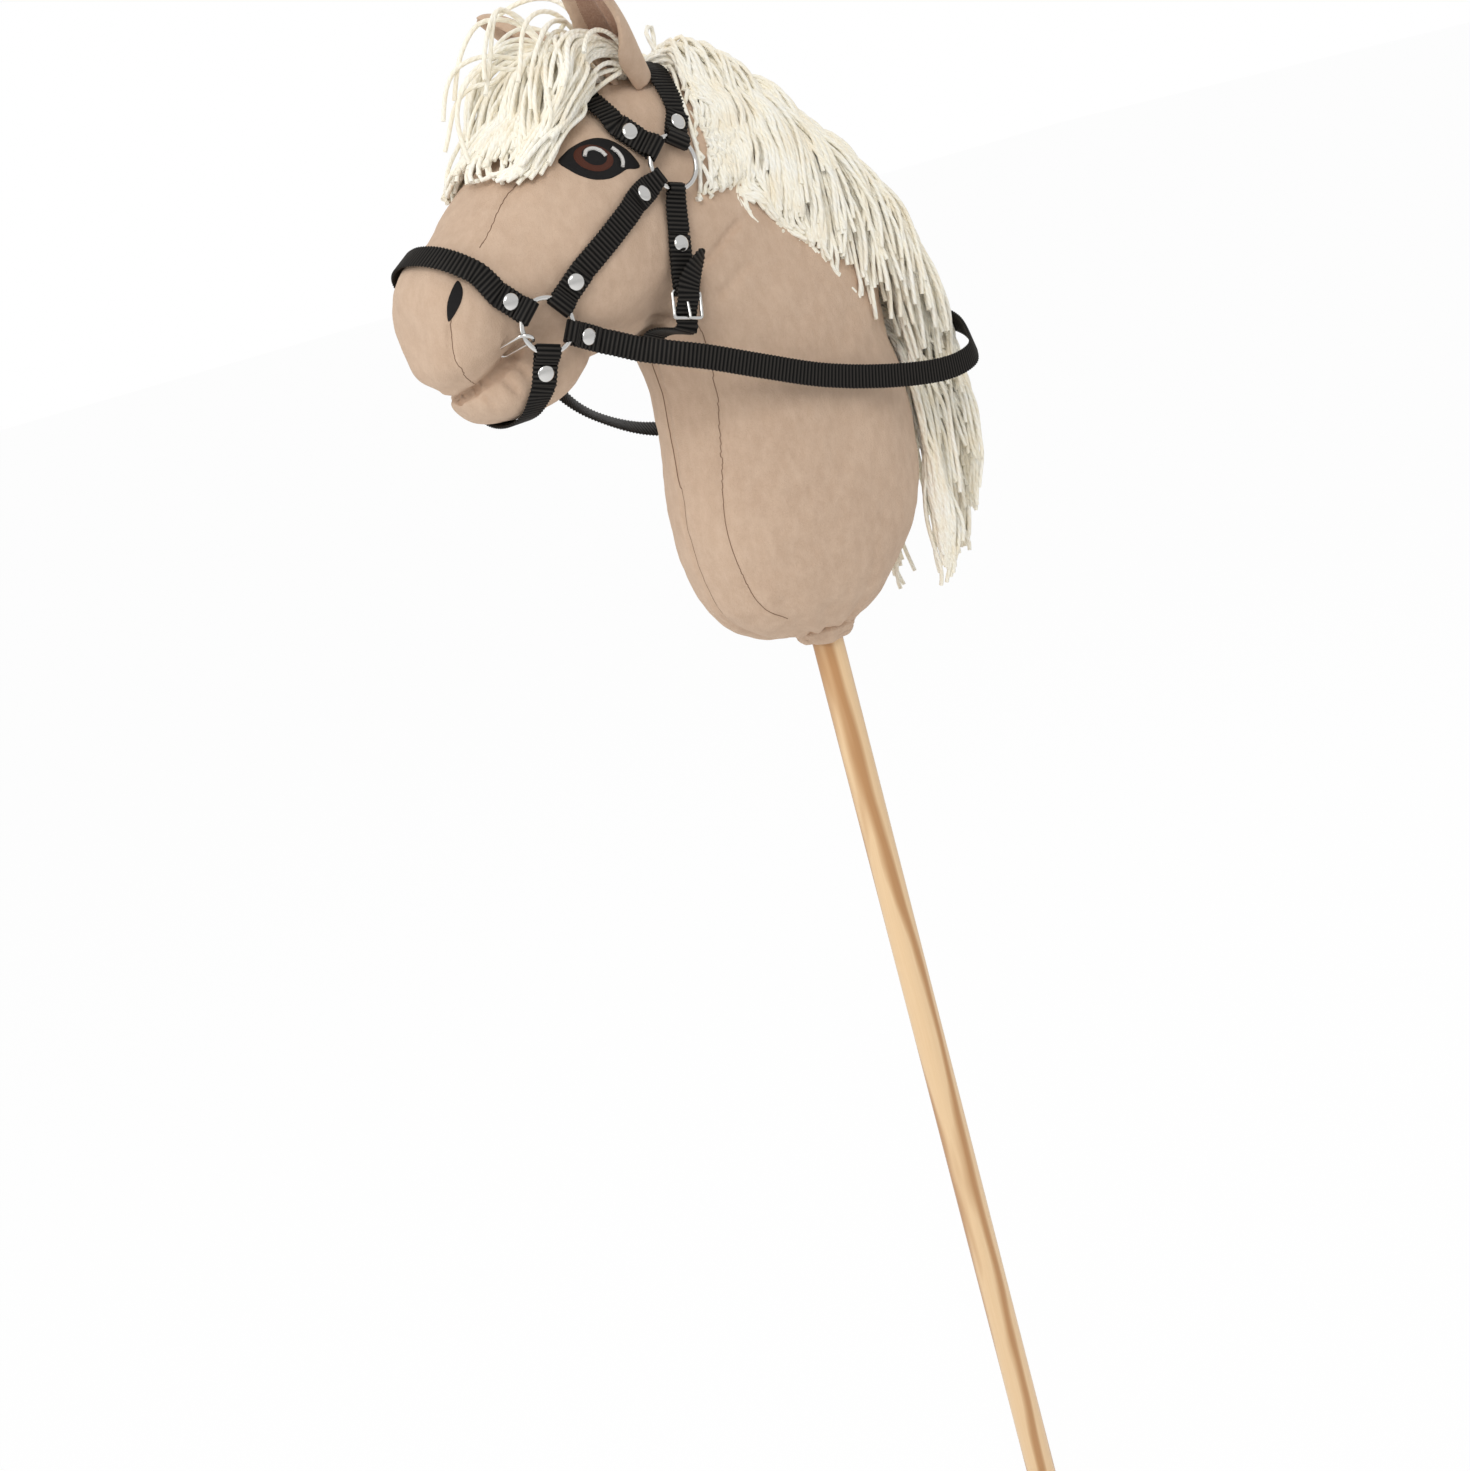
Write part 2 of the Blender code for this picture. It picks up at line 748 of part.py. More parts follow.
def belt_middle(skin, ring_at, top, ends, inset=0.35, rays=31):
    """Points of a taut belt over the head, in the plane of two rings and its top point."""
    low = place(ring_at[0], 0, ring_at[1])
    high = place(top[0], 0, top[1])
    up = (high - low).normalized()
    centre = low.lerp(high, inset)
    points = [ends[0].lead()[-1]]
    for k in range(rays):
        turn = math.radians(-115 + 230 * k / (rays - 1))
        direction = up * math.cos(turn) + Vector((0, 1, 0)) * math.sin(turn)
        hit = skin.from_outside(centre, direction)
        off = all((hit - end.fold).length > end.flat + BELT_OFF_END for end in ends)
        if off and (hit - low).dot(up) > 0:
            points.append(hit)
    points.append(ends[1].lead()[-1])
    for _ in range(200):
        for i in range(1, len(points) - 1):
            middle = (points[i - 1] + points[i + 1]) / 2
            if (middle - centre).length > (points[i] - centre).length:
                points[i] = middle
    return points[1:-1]


def spun(profile, steps, material, name, origin, axis):
    """A turned solid: a profile of radius and height, spun about an axis."""
    bm = bmesh.new()
    vertices = [bm.verts.new((r, 0, z)) for r, z in profile]
    edges = [bm.edges.new(pair) for pair in zip(vertices, vertices[1:])]
    bmesh.ops.spin(
        bm,
        geom=vertices + edges,
        cent=(0, 0, 0),
        axis=(0, 0, 1),
        angle=2 * math.pi,
        steps=steps,
        use_merge=True,
    )
    bmesh.ops.remove_doubles(bm, verts=bm.verts, dist=1e-7)
    turn = Vector((0, 0, 1)).rotation_difference(axis).to_matrix().to_4x4()
    bmesh.ops.transform(bm, matrix=Matrix.Translation(origin) @ turn, verts=bm.verts)
    return add_object(name, bm, material)


def circle_profile(radius, height, half, sides=6):
    """A closed round section for a spun ring."""
    turns = [2 * math.pi * k / sides for k in range(sides + 1)]
    return [(radius + half * math.cos(turn), height + half * math.sin(turn)) for turn in turns]


def rod(name, start, end, radius, material, sides=12):
    """A round bar from one point to another."""
    axis = end - start
    profile = [(0, 0), (radius, 0), (radius, axis.length), (0, axis.length)]
    return spun(profile, sides, material, name, start, axis.normalized())


def tube_rings(points, radius, sides, plane_normal):
    """Rings of a round wire along points that lie in one plane."""
    rings = []
    count = len(points)
    for i, point in enumerate(points):
        tangent = (points[(i + 1) % count] - points[i - 1]).normalized()
        across = tangent.cross(plane_normal).normalized()
        rings.append(oval(point, across, plane_normal, radius, radius, 2, sides))
    return rings


def rivet_profile():
    """Radius and height of a rivet, measured from the middle of the lower layer."""
    under = -WEBBING_THICKNESS / 2 - GAP
    over = WEBBING_THICKNESS / 2 + LAYER + GAP
    back = RIVET_BACK_DIAMETER / 2
    shank = RIVET_SHANK_DIAMETER / 2
    cap = RIVET_CAP_DIAMETER / 2
    profile = [(0, under - RIVET_BACK_HEIGHT), (back, under - RIVET_BACK_HEIGHT), (back, under)]
    profile += [(shank, under), (shank, over), (cap, over)]
    turn = math.radians(50)
    profile.append((cap * math.cos(turn), over + RIVET_CAP_HEIGHT * math.sin(turn)))
    profile.append((0, over + RIVET_CAP_HEIGHT))
    return profile


class Maker:
    """Builds each piece and keeps what later pieces are cut by."""

    def __init__(self):
        self.finishes = {
            "velour": finish("velour", (0.55, 0.40, 0.27), 0.9),
            "yarn": finish("yarn", (0.85, 0.80, 0.66), 0.9),
            "webbing": finish("webbing", (0.012, 0.012, 0.013), 0.6),
            "chrome": finish("chrome", (0.8, 0.8, 0.8), 0.15, 1.0),
            "pine": finish("pine", (0.80, 0.56, 0.30), 0.5),
            "thread": finish("thread", (0.01, 0.01, 0.01), 0.7),
        }
        self.skin = Skin()

    def cutter(self, name, rings):
        bm = split_alike(loft(rings))
        return hide_cutter(add_object("cut_" + name, bm, self.finishes["velour"]))

    def stick(self):
        radius = STICK_RADIUS
        top = STICK_BELOW_NECK + STICK_IN_NECK
        c = STICK_CHAMFER
        profile = [(0, 0), (radius - c, 0), (radius, c), (radius, top - c), (radius - c, top), (0, top)]
        stick = spun(profile, 24, self.finishes["pine"], "stick", Vector((0, 0, 0)), Vector((0, 0, 1)))
        peg_z = top - PEG_BELOW_STICK_TOP
        reach = Vector((0, PEG_LENGTH / 2, 0))
        middle = Vector((0, 0, peg_z))
        rod("cross_peg", middle - reach, middle + reach, PEG_DIAMETER / 2, self.finishes["pine"], 16)
        spare = Vector((0, GAP, 0))
        hole = rod("cut_peg", middle - reach - spare, middle + reach + spare, PEG_DIAMETER / 2 + GAP,
                   self.finishes["pine"], 16)
        boolean(stick, hide_cutter(hole))
        bore = rod("cut_bore", Vector((0, 0, STICK_BELOW_NECK - 0.02)), Vector((0, 0, top + GAP)),
                   radius + GAP, self.finishes["pine"], 24)
        return hide_cutter(hole), hide_cutter(bore)

    def soft_body(self, peg_cut, bore_cut):
        velour = self.finishes["velour"]
        neck = add_object("neck", split_alike(loft(neck_rings())), velour)
        boolean(neck, bore_cut)
        boolean(neck, peg_cut)
        inner = STICK_RADIUS + GAP
        outer = inner + HEM_WALL
        z = STICK_BELOW_NECK
        hem = [(inner, z - HEM_DROP), (outer - 0.001, z - HEM_DROP), (outer, z - HEM_DROP + 0.001)]
        tie = TIE_DIAMETER / 2
        tie_z = z + TIE_ABOVE_NECK + tie
        hem += [(outer, tie_z - tie - GAP), (outer - 0.001, tie_z), (outer, tie_z + tie + GAP)]
        hem += [(outer, z + HEM_RISE), (inner, z + HEM_RISE), (inner, z - HEM_DROP)]
        up = Vector((0, 0, 1))
        origin = Vector((0, 0, 0))
        spun(hem, 20, velour, "neck_hem", origin, up)
        tie_radius = outer + tie + GAP
        section = circle_profile(tie_radius, tie_z, tie)
        spun(section, 20, self.finishes["webbing"], "hem_tie", origin, up)
        hollow_top = z + HEM_RISE + GAP
        hollow = [(0, z - 0.02), (outer + GAP, z - 0.02), (outer + GAP, tie_z - tie - GAP)]
        hollow += [(tie_radius + tie + GAP, tie_z - tie - GAP), (tie_radius + tie + GAP, tie_z + tie + GAP)]
        hollow += [(outer + GAP, tie_z + tie + GAP), (outer + GAP, hollow_top), (0, hollow_top)]
        hollow_cut = hide_cutter(spun(hollow, 20, velour, "cut_hem", origin, up))
        boolean(neck, hollow_cut)
        head = add_object("head", split_alike(loft(head_rings())), velour)
        neck_cut = self.cutter("neck", neck_rings(GAP))
        boolean(head, neck_cut, solver="MANIFOLD")
        jaw = add_object("lower_jaw", split_alike(loft(jaw_rings())), velour)
        head_cut = self.cutter("head", head_rings(GAP))
        boolean(jaw, head_cut)
        return head, neck_cut, head_cut

    def ear(self, name, side, cutters):
        root = place(EAR_ROOT[0], side * EAR_ROOT[1], EAR_ROOT[2])
        tip = place(EAR_TIP[0], side * EAR_TIP[1], EAR_TIP[2])
        up = (tip - root).normalized()
        face = Vector((EAR_FACES[0], side * EAR_FACES[1], EAR_FACES[2]))
        face = (face - up * face.dot(up)).normalized()
        across = up.cross(face)
        rings = []
        for share, width, depth in curve_through(EAR_STATIONS, 9):
            width *= MM
            depth *= MM
            centre = root + (tip - root) * share
            inner_width = max(width - EAR_WALL, width * 0.3)
            inner_depth = max(depth - EAR_WALL, depth * 0.3)
            ring = []
            for k in range(9):
                turn = math.radians(-90 + 22.5 * k)
                ring.append(centre + across * (width * math.sin(turn)) - face * (depth * math.cos(turn)))
            for k in range(9):
                turn = math.radians(82 - 20.5 * k)
                ring.append(centre + across * (inner_width * math.sin(turn)) - face * (inner_depth * math.cos(turn)))
            rings.append(ring)
        ear = add_object(name, loft(rings), self.finishes["velour"])
        for cutter in cutters:
            boolean(ear, cutter)

    def patch(self, name, at, length, height, tilt_degrees, side, head_cut):
        """A patch of stitches on the head, almond shaped."""
        tilt = math.radians(tilt_degrees)
        along = Vector((math.cos(tilt), 0, math.sin(tilt)))
        up = Vector((-math.sin(tilt), 0, math.cos(tilt)))
        centre = place(at[0], 0, at[1])
        rings = []
        for reach in (0.012, 0.090):
            ring = []
            for k in range(20):
                turn = 2 * math.pi * k / 20
                rise = math.sin(turn) * abs(math.sin(turn)) ** 0.7
                point = centre + along * (length / 2 * math.cos(turn)) + up * (height / 2 * rise)
                ring.append(point + Vector((0, side * reach, 0)))
            rings.append(ring)
        prism = hide_cutter(add_object("cut_" + name, loft(rings), self.finishes["thread"]))
        bm = split_alike(loft(head_rings(GAP + PATCH_THICKNESS)))
        patch = add_object(name, bm, self.finishes["thread"])
        boolean(patch, prism, "INTERSECT")
        boolean(patch, head_cut)

    def strap(self, name, strap, rivets=()):
        """A strap with a hole for each rivet."""
        obj = add_object(name, loft(strap.rings()), self.finishes["webbing"])
        reach = 0.004
        radius = RIVET_SHANK_DIAMETER / 2 + GAP
        for i, (point, normal) in enumerate(rivets):
            hole = rod(f"cut_{name}_{i}", point - normal * reach, point + normal * reach, radius,
                       self.finishes["chrome"], 10)
            boolean(obj, hide_cutter(hole))
        return obj

    def rivet(self, name, place):
        point, normal = place
        spun(rivet_profile(), 10, self.finishes["chrome"], name, point, normal)

    def ring(self, name, ring):
        section = circle_profile(RING_RADIUS, 0, RING_WIRE / 2)
        obj = spun(section, 24, self.finishes["chrome"], name, ring.centre, ring.normal)
        move_origin(obj, ring.centre)

    def belt(self, name, rings, degrees, rivet, top):
        """A strap from the left ring over or under the head to the right ring."""
        ends = [ring_end(self.skin, ring, degrees, rivet) for ring in rings]
        middle = belt_middle(self.skin, *top, ends)
        strap = strap_between(self.skin, ends[0], ends[1], middle, STRAP_ABOVE_SKIN)
        length = arc_lengths(strap.positions)[-1]
        places = [strap.at(ends[0].rivet_from), strap.at(length - ends[1].rivet_from)]
        full = fold_ends(strap, ends[0], ends[1])
        self.strap(name, full, places)
        for side_name, place in zip(SIDES, places):
            self.rivet(f"{rivet}_rivet_{side_name}", place)
        return full

    def cheek(self, side_name, mouth, temple):
        lower = ring_end(self.skin, mouth, MOUTH_ANGLES["cheek"], "cheek_lower")
        upper = ring_end(self.skin, temple, TEMPLE_ANGLES["cheek"], "cheek_upper")
        strap = strap_between(self.skin, lower, upper, [], STRAP_ABOVE_SKIN)
        length = arc_lengths(strap.positions)[-1]
        places = [strap.at(lower.rivet_from), strap.at(length - upper.rivet_from)]
        self.strap("cheek_strap_" + side_name, fold_ends(strap, lower, upper), places)
        self.rivet("cheek_lower_rivet_" + side_name, places[0])
        self.rivet("cheek_upper_rivet_" + side_name, places[1])

    def rein_end(self, side_name, ring):
        """The riveted end of the reins at one mouth ring; gives the line they flex on."""
        end = ring_end(self.skin, ring, MOUTH_ANGLES["rein"], "rein")
        positions = []
        normals = []
        length = REIN_FLEX_FROM_RING - (end.fold - ring.centre).length
        bend = length - end.flat
        for mark in (0, end.flat / 2, end.flat, *(end.flat + bend * k / 4 for k in range(1, 5))):
            flare = REIN_FLARE * ease((mark - end.flat) / bend)
            positions.append(end.fold + end.out * mark - end.normal * (end.radius - flare))
            normals.append(end.normal.copy())
        strap = Strap(positions, normals)
        place = strap.at(end.rivet_from)
        flex = strap.positions[-1]
        obj = self.strap("rein_end_" + side_name, fold_ends(strap, end), [place])
        reach = Vector((0, 0.02, 0))
        knuckle = rod("cut_rein_end_" + side_name, flex - reach, flex + reach, WEBBING_WIDTH / 2 + GAP,
                      self.finishes["webbing"], 24)
        boolean(obj, hide_cutter(knuckle))
        self.rivet("rein_rivet_" + side_name, place)
        return flex, strap.tangent(len(strap.positions) - 1), strap.normals[-1]

    def throatlatch(self, rings):
        """The throat belt: a riveted loop with a buckle on the left, and the strap it holds."""
        flat = BUCKLE_FROM_FOLD + BUCKLE_LENGTH + STRAP_STEP / 2
        left = ring_end(self.skin, rings[0], TEMPLE_ANGLES["throat"], "throat_loop", flat)
        left.tail = left.rivet_from + LOOP_TAILS
        right = ring_end(self.skin, rings[1], TEMPLE_ANGLES["throat"], "throat")
        middle = belt_middle(self.skin, TEMPLE_RING_AT, THROAT_BOTTOM, (left, right))
        belt = strap_between(self.skin, left, right, middle, STRAP_ABOVE_SKIN)
        length = arc_lengths(belt.positions)[-1]
        point, normal = belt.at(BUCKLE_FROM_FOLD)
        along = left.out
        bar_radius = BUCKLE_WIRE / 2
        rise = bar_radius + GAP + WEBBING_THICKNESS / 2
        heel = point + normal * rise
        front = heel + along * BUCKLE_LENGTH
        across = along.cross(normal).normalized()
        upper = belt.part(0, BUCKLE_FROM_FOLD)
        bar_end = FoldEnd(heel, -along, normal, bar_radius + GAP, BUCKLE_FROM_FOLD - left.rivet_from, bar_radius / 2)
        bar_end.tail = bar_end.rivet_from - LOOP_TAILS - LAYER
        loop_rivet = belt.at(left.rivet_from)
        loop = self.strap("throatlatch_loop", fold_ends(upper, left, bar_end), [loop_rivet])
        slot = self.block("cut_loop_slot", heel, along, across, normal, (0.0095, PRONG_WIDTH + 2 * GAP, 0.008))
        boolean(loop, slot)
        self.buckle(heel, front, along, across, normal)
        positions = []
        normals = []
        widths = []
        over = rise + WEBBING_THICKNESS + GAP
        tail = TONGUE_LENGTH
        tongue = [(tail - reach, width) for reach, width in round_end(WEBBING_WIDTH / 2)]
        tongue += [(tail * share, WEBBING_WIDTH) for share in (0.7, 0.45, 0.2, 0.0)]
        for reach, width in tongue:
            drift = across * (-TONGUE_DRIFT * (reach / tail) ** 1.5)
            positions.append(heel - along * reach + normal * over + drift)
            normals.append(normal)
            widths.append(width)
        for share in (0.3, 0.6, 0.85):
            height_here = over + (-rise - over) * ease(share * 1.1)
            positions.append(heel + along * (BUCKLE_LENGTH * share) + normal * height_here)
            normals.append(normal)
            widths.append(WEBBING_WIDTH)
        rest = belt.part(BUCKLE_FROM_FOLD + BUCKLE_LENGTH, length)
        rest = fold_ends(rest, None, right)
        strap = Strap(positions + rest.positions, normals + rest.normals, widths + rest.widths)
        strap.set_tangents[-len(rest.positions):] = rest.set_tangents
        rivet = belt.at(length - right.rivet_from)
        lower = self.strap("throatlatch", strap, [rivet])
        middle = heel + along * PRONG_SLOT_FROM_BAR
        slot = self.block("cut_prong_slot", middle, along, across, normal,
                          (PRONG_SLOT_LENGTH, PRONG_DIAMETER + 2 * GAP, 0.012))
        boolean(lower, slot)
        self.rivet("throat_rivet_left", loop_rivet)
        self.rivet("throat_rivet_right", rivet)

    def block(self, name, centre, along, across, normal, size):
        """A box cutter lined up with a strap."""
        bm = bmesh.new()
        bmesh.ops.create_cube(bm, size=1)
        frame = Matrix((along * size[0], across * size[1], normal * size[2])).transposed().to_4x4()
        bmesh.ops.transform(bm, matrix=Matrix.Translation(centre) @ frame, verts=bm.verts)
        return hide_cutter(add_object(name, bm, self.finishes["webbing"]))

    def buckle(self, heel, front, along, across, normal):
        """The buckle's frame, and the prong that turns on its heel bar."""
        chrome = self.finishes["chrome"]
        half = WEBBING_WIDTH / 2 + BUCKLE_PLAY + BUCKLE_WIRE / 2
        points = []
        for centre, sign in ((front, 1), (heel, -1)):
            for k in range(6):
                right_corner = (k < 3) == (sign > 0)
                turn = math.radians(45 * (k % 3)) if k < 3 else math.radians(90 + 45 * (k % 3))
                corner = (half - BUCKLE_CORNER) * (1 if right_corner else -1)
                point = centre + across * corner - along * (sign * BUCKLE_CORNER)
                point += across * (sign * BUCKLE_CORNER * math.cos(turn))
                points.append(point + along * (sign * BUCKLE_CORNER * math.sin(turn)))
        add_object("buckle_frame", loft(tube_rings(points, BUCKLE_WIRE / 2, 8, normal), closed=True), chrome)
        bore = BUCKLE_WIRE / 2 + GAP
        knuckle = [(bore, -PRONG_WIDTH / 2), (bore + PRONG_WALL, -PRONG_WIDTH / 2)]
        knuckle += [(bore + PRONG_WALL, PRONG_WIDTH / 2), (bore, PRONG_WIDTH / 2), (bore, -PRONG_WIDTH / 2)]
        prong = spun(knuckle, 12, chrome, "buckle_prong", heel, across)
        move_origin(prong, heel)
        start = heel + along * (bore + PRONG_WALL / 2)
        tip = front + normal * (BUCKLE_WIRE / 2 + GAP + PRONG_DIAMETER / 2)
        tip = tip + (tip - start).normalized() * PRONG_OVERHANG
        shaft = rod("cut_prong_shaft", start, tip, PRONG_DIAMETER / 2, chrome, 8)
        boolean(prong, hide_cutter(shaft), "UNION")

    def bit(self, rings, head):
        """The bit: a bar through the mouth with a long eye round each mouth ring."""
        chrome = self.finishes["chrome"]
        tilt = math.radians(BIT_EYE_TILT_DEGREES)
        wire_radius = BIT_EYE_WIRE / 2
        half = RING_WIRE / 2 / math.cos(tilt) + BIT_EYE_PLAY + wire_radius
        eyes = []
        corners = []
        for ring in rings:
            inner = place(BIT_CORNER_AT[0], 0, BIT_CORNER_AT[1])
            corner = self.skin.from_outside(inner, Vector((0, ring.side, 0)))
            corner -= Vector((0, ring.side * BIT_CORNER_SINK, 0))
            out = ring.direction(BIT_EYE_ANGLE)
            wire = ring.centre + out * RING_RADIUS
            along = (corner - wire).normalized()
            wire_along = out.cross(ring.normal) * ring.side
            across = along.cross(wire_along * ring.side).normalized()
            wire_along = across.cross(along) * math.copysign(1, across.cross(along).dot(wire_along))
            across = across * math.cos(tilt) + wire_along * math.sin(tilt)
            square = along.cross(across)
            points = []
            slot = [[], []]
            ends = ((corner - along * half, along), (wire, -along))
            for k in range(10):
                centre, forward = ends[k // 5]
                turn = math.radians(-90 + 45 * (k % 5))
                sideways = across * math.copysign(1, forward.dot(along))
                arm = forward * math.cos(turn) + sideways * math.sin(turn)
                points.append(centre + arm * half)
                clear = half + (wire_radius + GAP) / math.cos(math.radians(22.5))
                for end, ring_points in zip((-1, 1), slot):
                    ring_points.append(centre + arm * clear + square * (end * (wire_radius + GAP)))
            side_name = "left" if ring.side < 0 else "right"
            eye = loft(tube_rings(points, wire_radius, 8, square), closed=True)
            eyes.append(hide_cutter(add_object("bit_eye_" + side_name, eye, chrome)))
            slot_cut = hide_cutter(add_object("cut_bit_eye_" + side_name, loft(slot), chrome))
            boolean(head, slot_cut, solver="MANIFOLD")
            corners.append(corner)
        bar = rod("bit", corners[0], corners[1], BIT_BAR_DIAMETER / 2, chrome, 12)
        spare = (corners[1] - corners[0]).normalized() * GAP
        bore = rod("cut_bit_bar", corners[0] - spare, corners[1] + spare, BIT_BAR_DIAMETER / 2 + GAP, chrome, 12)
        boolean(head, hide_cutter(bore), solver="MANIFOLD")
        for eye in eyes:
            boolean(bar, eye, "UNION")

    def crown_side(self, bm, behind):
        """Trim a bmesh to one side of the crownpiece."""
        low = place(TEMPLE_RING_AT[0], 0, TEMPLE_RING_AT[1])
        high = place(CROWN_TOP[0], 0, CROWN_TOP[1])
        back = (high - low).normalized().cross(Vector((0, 1, 0)))
        if back.x < 0:
            back = -back
        side = 1 if behind else -1
        offset = back * (side * (WEBBING_WIDTH / 2 + HAIR_FROM_CROWN))
        cut = bmesh.ops.bisect_plane(
            bm,
            geom=[*bm.verts, *bm.edges, *bm.faces],
            plane_co=low + offset,
            plane_no=back * side,
            clear_inner=True,
        )
        edges = [g for g in cut["geom_cut"] if isinstance(g, bmesh.types.BMEdge)]
        bmesh.ops.contextual_create(bm, geom=edges)

    def mane(self, cutters):
        rings = []
        for z, front, back, width in curve_through(MANE_STATIONS, 17):
            centre = place((front + back) / 2, 0, z)
            depth = (back - front) / 2 * MM
            rings.append(oval(centre, Vector((1, 0, 0)), Vector((0, 1, 0)), depth, width * MM, MANE_POWER, 20))
        bm = loft(rings)
        self.crown_side(bm, True)
        mane = add_object("mane", bm, self.finishes["yarn"])
        for cutter in cutters:
            boolean(mane, cutter)

    def forelock(self, cutters):
        line = curve_through(FORELOCK_STATIONS, 12)
        rings = []
        for i, (x, z, thick, width) in enumerate(line):
            before = line[max(i - 1, 0)]
            after = line[min(i + 1, len(line) - 1)]
            along = Vector((after[0] - before[0], 0, after[1] - before[1])).normalized()
            up = along.cross(Vector((0, 1, 0)))
            rings.append(oval(place(x, 0, z), Vector((0, 1, 0)), up, width * MM, thick * MM, FORELOCK_POWER, 20))
        bm = loft(rings)
        self.crown_side(bm, False)
        forelock = add_object("forelock", bm, self.finishes["yarn"])
        for cutter in cutters:
            boolean(forelock, cutter)

    def reins(self, flexes):
        """The loop of the reins, from one flexing point round to the other."""
        (left, left_along, left_out), (right, right_along, right_out) = flexes
        route = [place(*row) for row in REIN_ROUTE]
        guide = [left, left + left_along * 0.009, *route, right + right_along * 0.009, right]
        line = even_steps(curve_through([(*p,) for p in guide], 12 * len(guide)), REIN_STEP)
        points = [Vector(p) for p in line]
        positions = []
        normals = []
        widths = []
        radius = WEBBING_WIDTH / 2
        for reach, width in round_end(radius):
            positions.append(left - left_along * (radius - reach))
            normals.append(left_out.copy())
            widths.append(width)
        last = len(points) - 1
        for i, point in enumerate(points):
            along = (points[min(i + 1, last)] - points[max(i - 1, 0)]).normalized()
            far = ease((i / last - 0.55) / 0.25) * ease((1 - i / last) / 0.12)
            out = rein_outward(point, along, REIN_FAR_TWIST_DEGREES * far)
            near_end = max(1 - (point - left).length / 0.03, 0)
            far_end = max(1 - (point - right).length / 0.03, 0)
            out = out.lerp(left_out, ease(near_end)).lerp(right_out, ease(far_end))
            positions.append(point)
            normals.append(out.normalized())
            widths.append(WEBBING_WIDTH)
        for reach, width in round_end(radius)[::-1]:
            positions.append(right - right_along * (radius - reach))
            normals.append(right_out.copy())
            widths.append(width)
        reins = add_object("reins", loft(Strap(positions, normals, widths).rings()), self.finishes["webbing"])
        move_origin(reins, (left + right) / 2)


def rein_outward(point, along, twist_degrees):
    """The direction that the rein's outer face looks in, round the loop."""
    centre_x = 0.020
    half_depth = 0.165
    half_width = 0.075
    out = Vector(((point.x - centre_x) / half_depth**2, point.y / half_width**2, 0))
    out = (out - along * out.dot(along)).normalized()
    return Matrix.Rotation(math.radians(twist_degrees), 3, along) @ out


def main():
    clear_scene()
    maker = Maker()
    peg_cut, bore_cut = maker.stick()
    head, neck_cut, head_cut = maker.soft_body(peg_cut, bore_cut)
    mouths = []
    temples = []
    flexes = []
    for side_name, side in SIDES.items():
        mouth = Ring(maker.skin, MOUTH_RING_AT, MOUTH_RING_FACES, MOUTH_ANGLES.values(), side)
        temple = Ring(maker.skin, TEMPLE_RING_AT, TEMPLE_RING_FACES, TEMPLE_ANGLES.values(), side)
        maker.ring("ring_mouth_" + side_name, mouth)
        maker.ring("ring_temple_" + side_name, temple)
        maker.ear("ear_" + side_name, side, (head_cut, neck_cut))
        maker.patch("eye_" + side_name, EYE_AT, EYE_LENGTH, EYE_HEIGHT, EYE_TILT_DEGREES, side, head_cut)
        maker.patch("nostril_" + side_name, NOSTRIL_AT, NOSTRIL_LENGTH, NOSTRIL_HEIGHT,
                    NOSTRIL_TILT_DEGREES, side, head_cut)
        maker.cheek(side_name, mouth, temple)
        flexes.append(maker.rein_end(side_name, mouth))
        mouths.append(mouth)
        temples.append(temple)
    maker.belt("noseband", mouths, MOUTH_ANGLES["noseband"], "noseband", (MOUTH_RING_AT, NOSEBAND_TOP))
    maker.belt("chin_strap", mouths, MOUTH_ANGLES["chin"], "chin", (MOUTH_RING_AT, CHIN_BOTTOM))
    brow = maker.belt("browband", temples, TEMPLE_ANGLES["browband"], "browband",
                      (TEMPLE_RING_AT, BROWBAND_TOP))
    maker.belt("crownpiece", temples, TEMPLE_ANGLES["crown"], "crown", (TEMPLE_RING_AT, CROWN_TOP))
    maker.throatlatch(temples)
    maker.bit(mouths, head)
    brow_cut = maker.cutter("browband", brow.rings(GAP))
    maker.mane((neck_cut, head_cut))
    maker.forelock((head_cut, neck_cut, brow_cut))
    maker.reins(flexes)


main()
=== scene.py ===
# %% [markdown]
# # A hobby horse
# A stuffed velour horse's head on a pine stick, with a wool mane and a webbing bridle.
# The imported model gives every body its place; this lesson puts the real surfaces on it.

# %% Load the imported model
import math
import random

import bmesh
import bpy
import numpy as np
from mathutils import Matrix, Vector
from mathutils.bvhtree import BVHTree


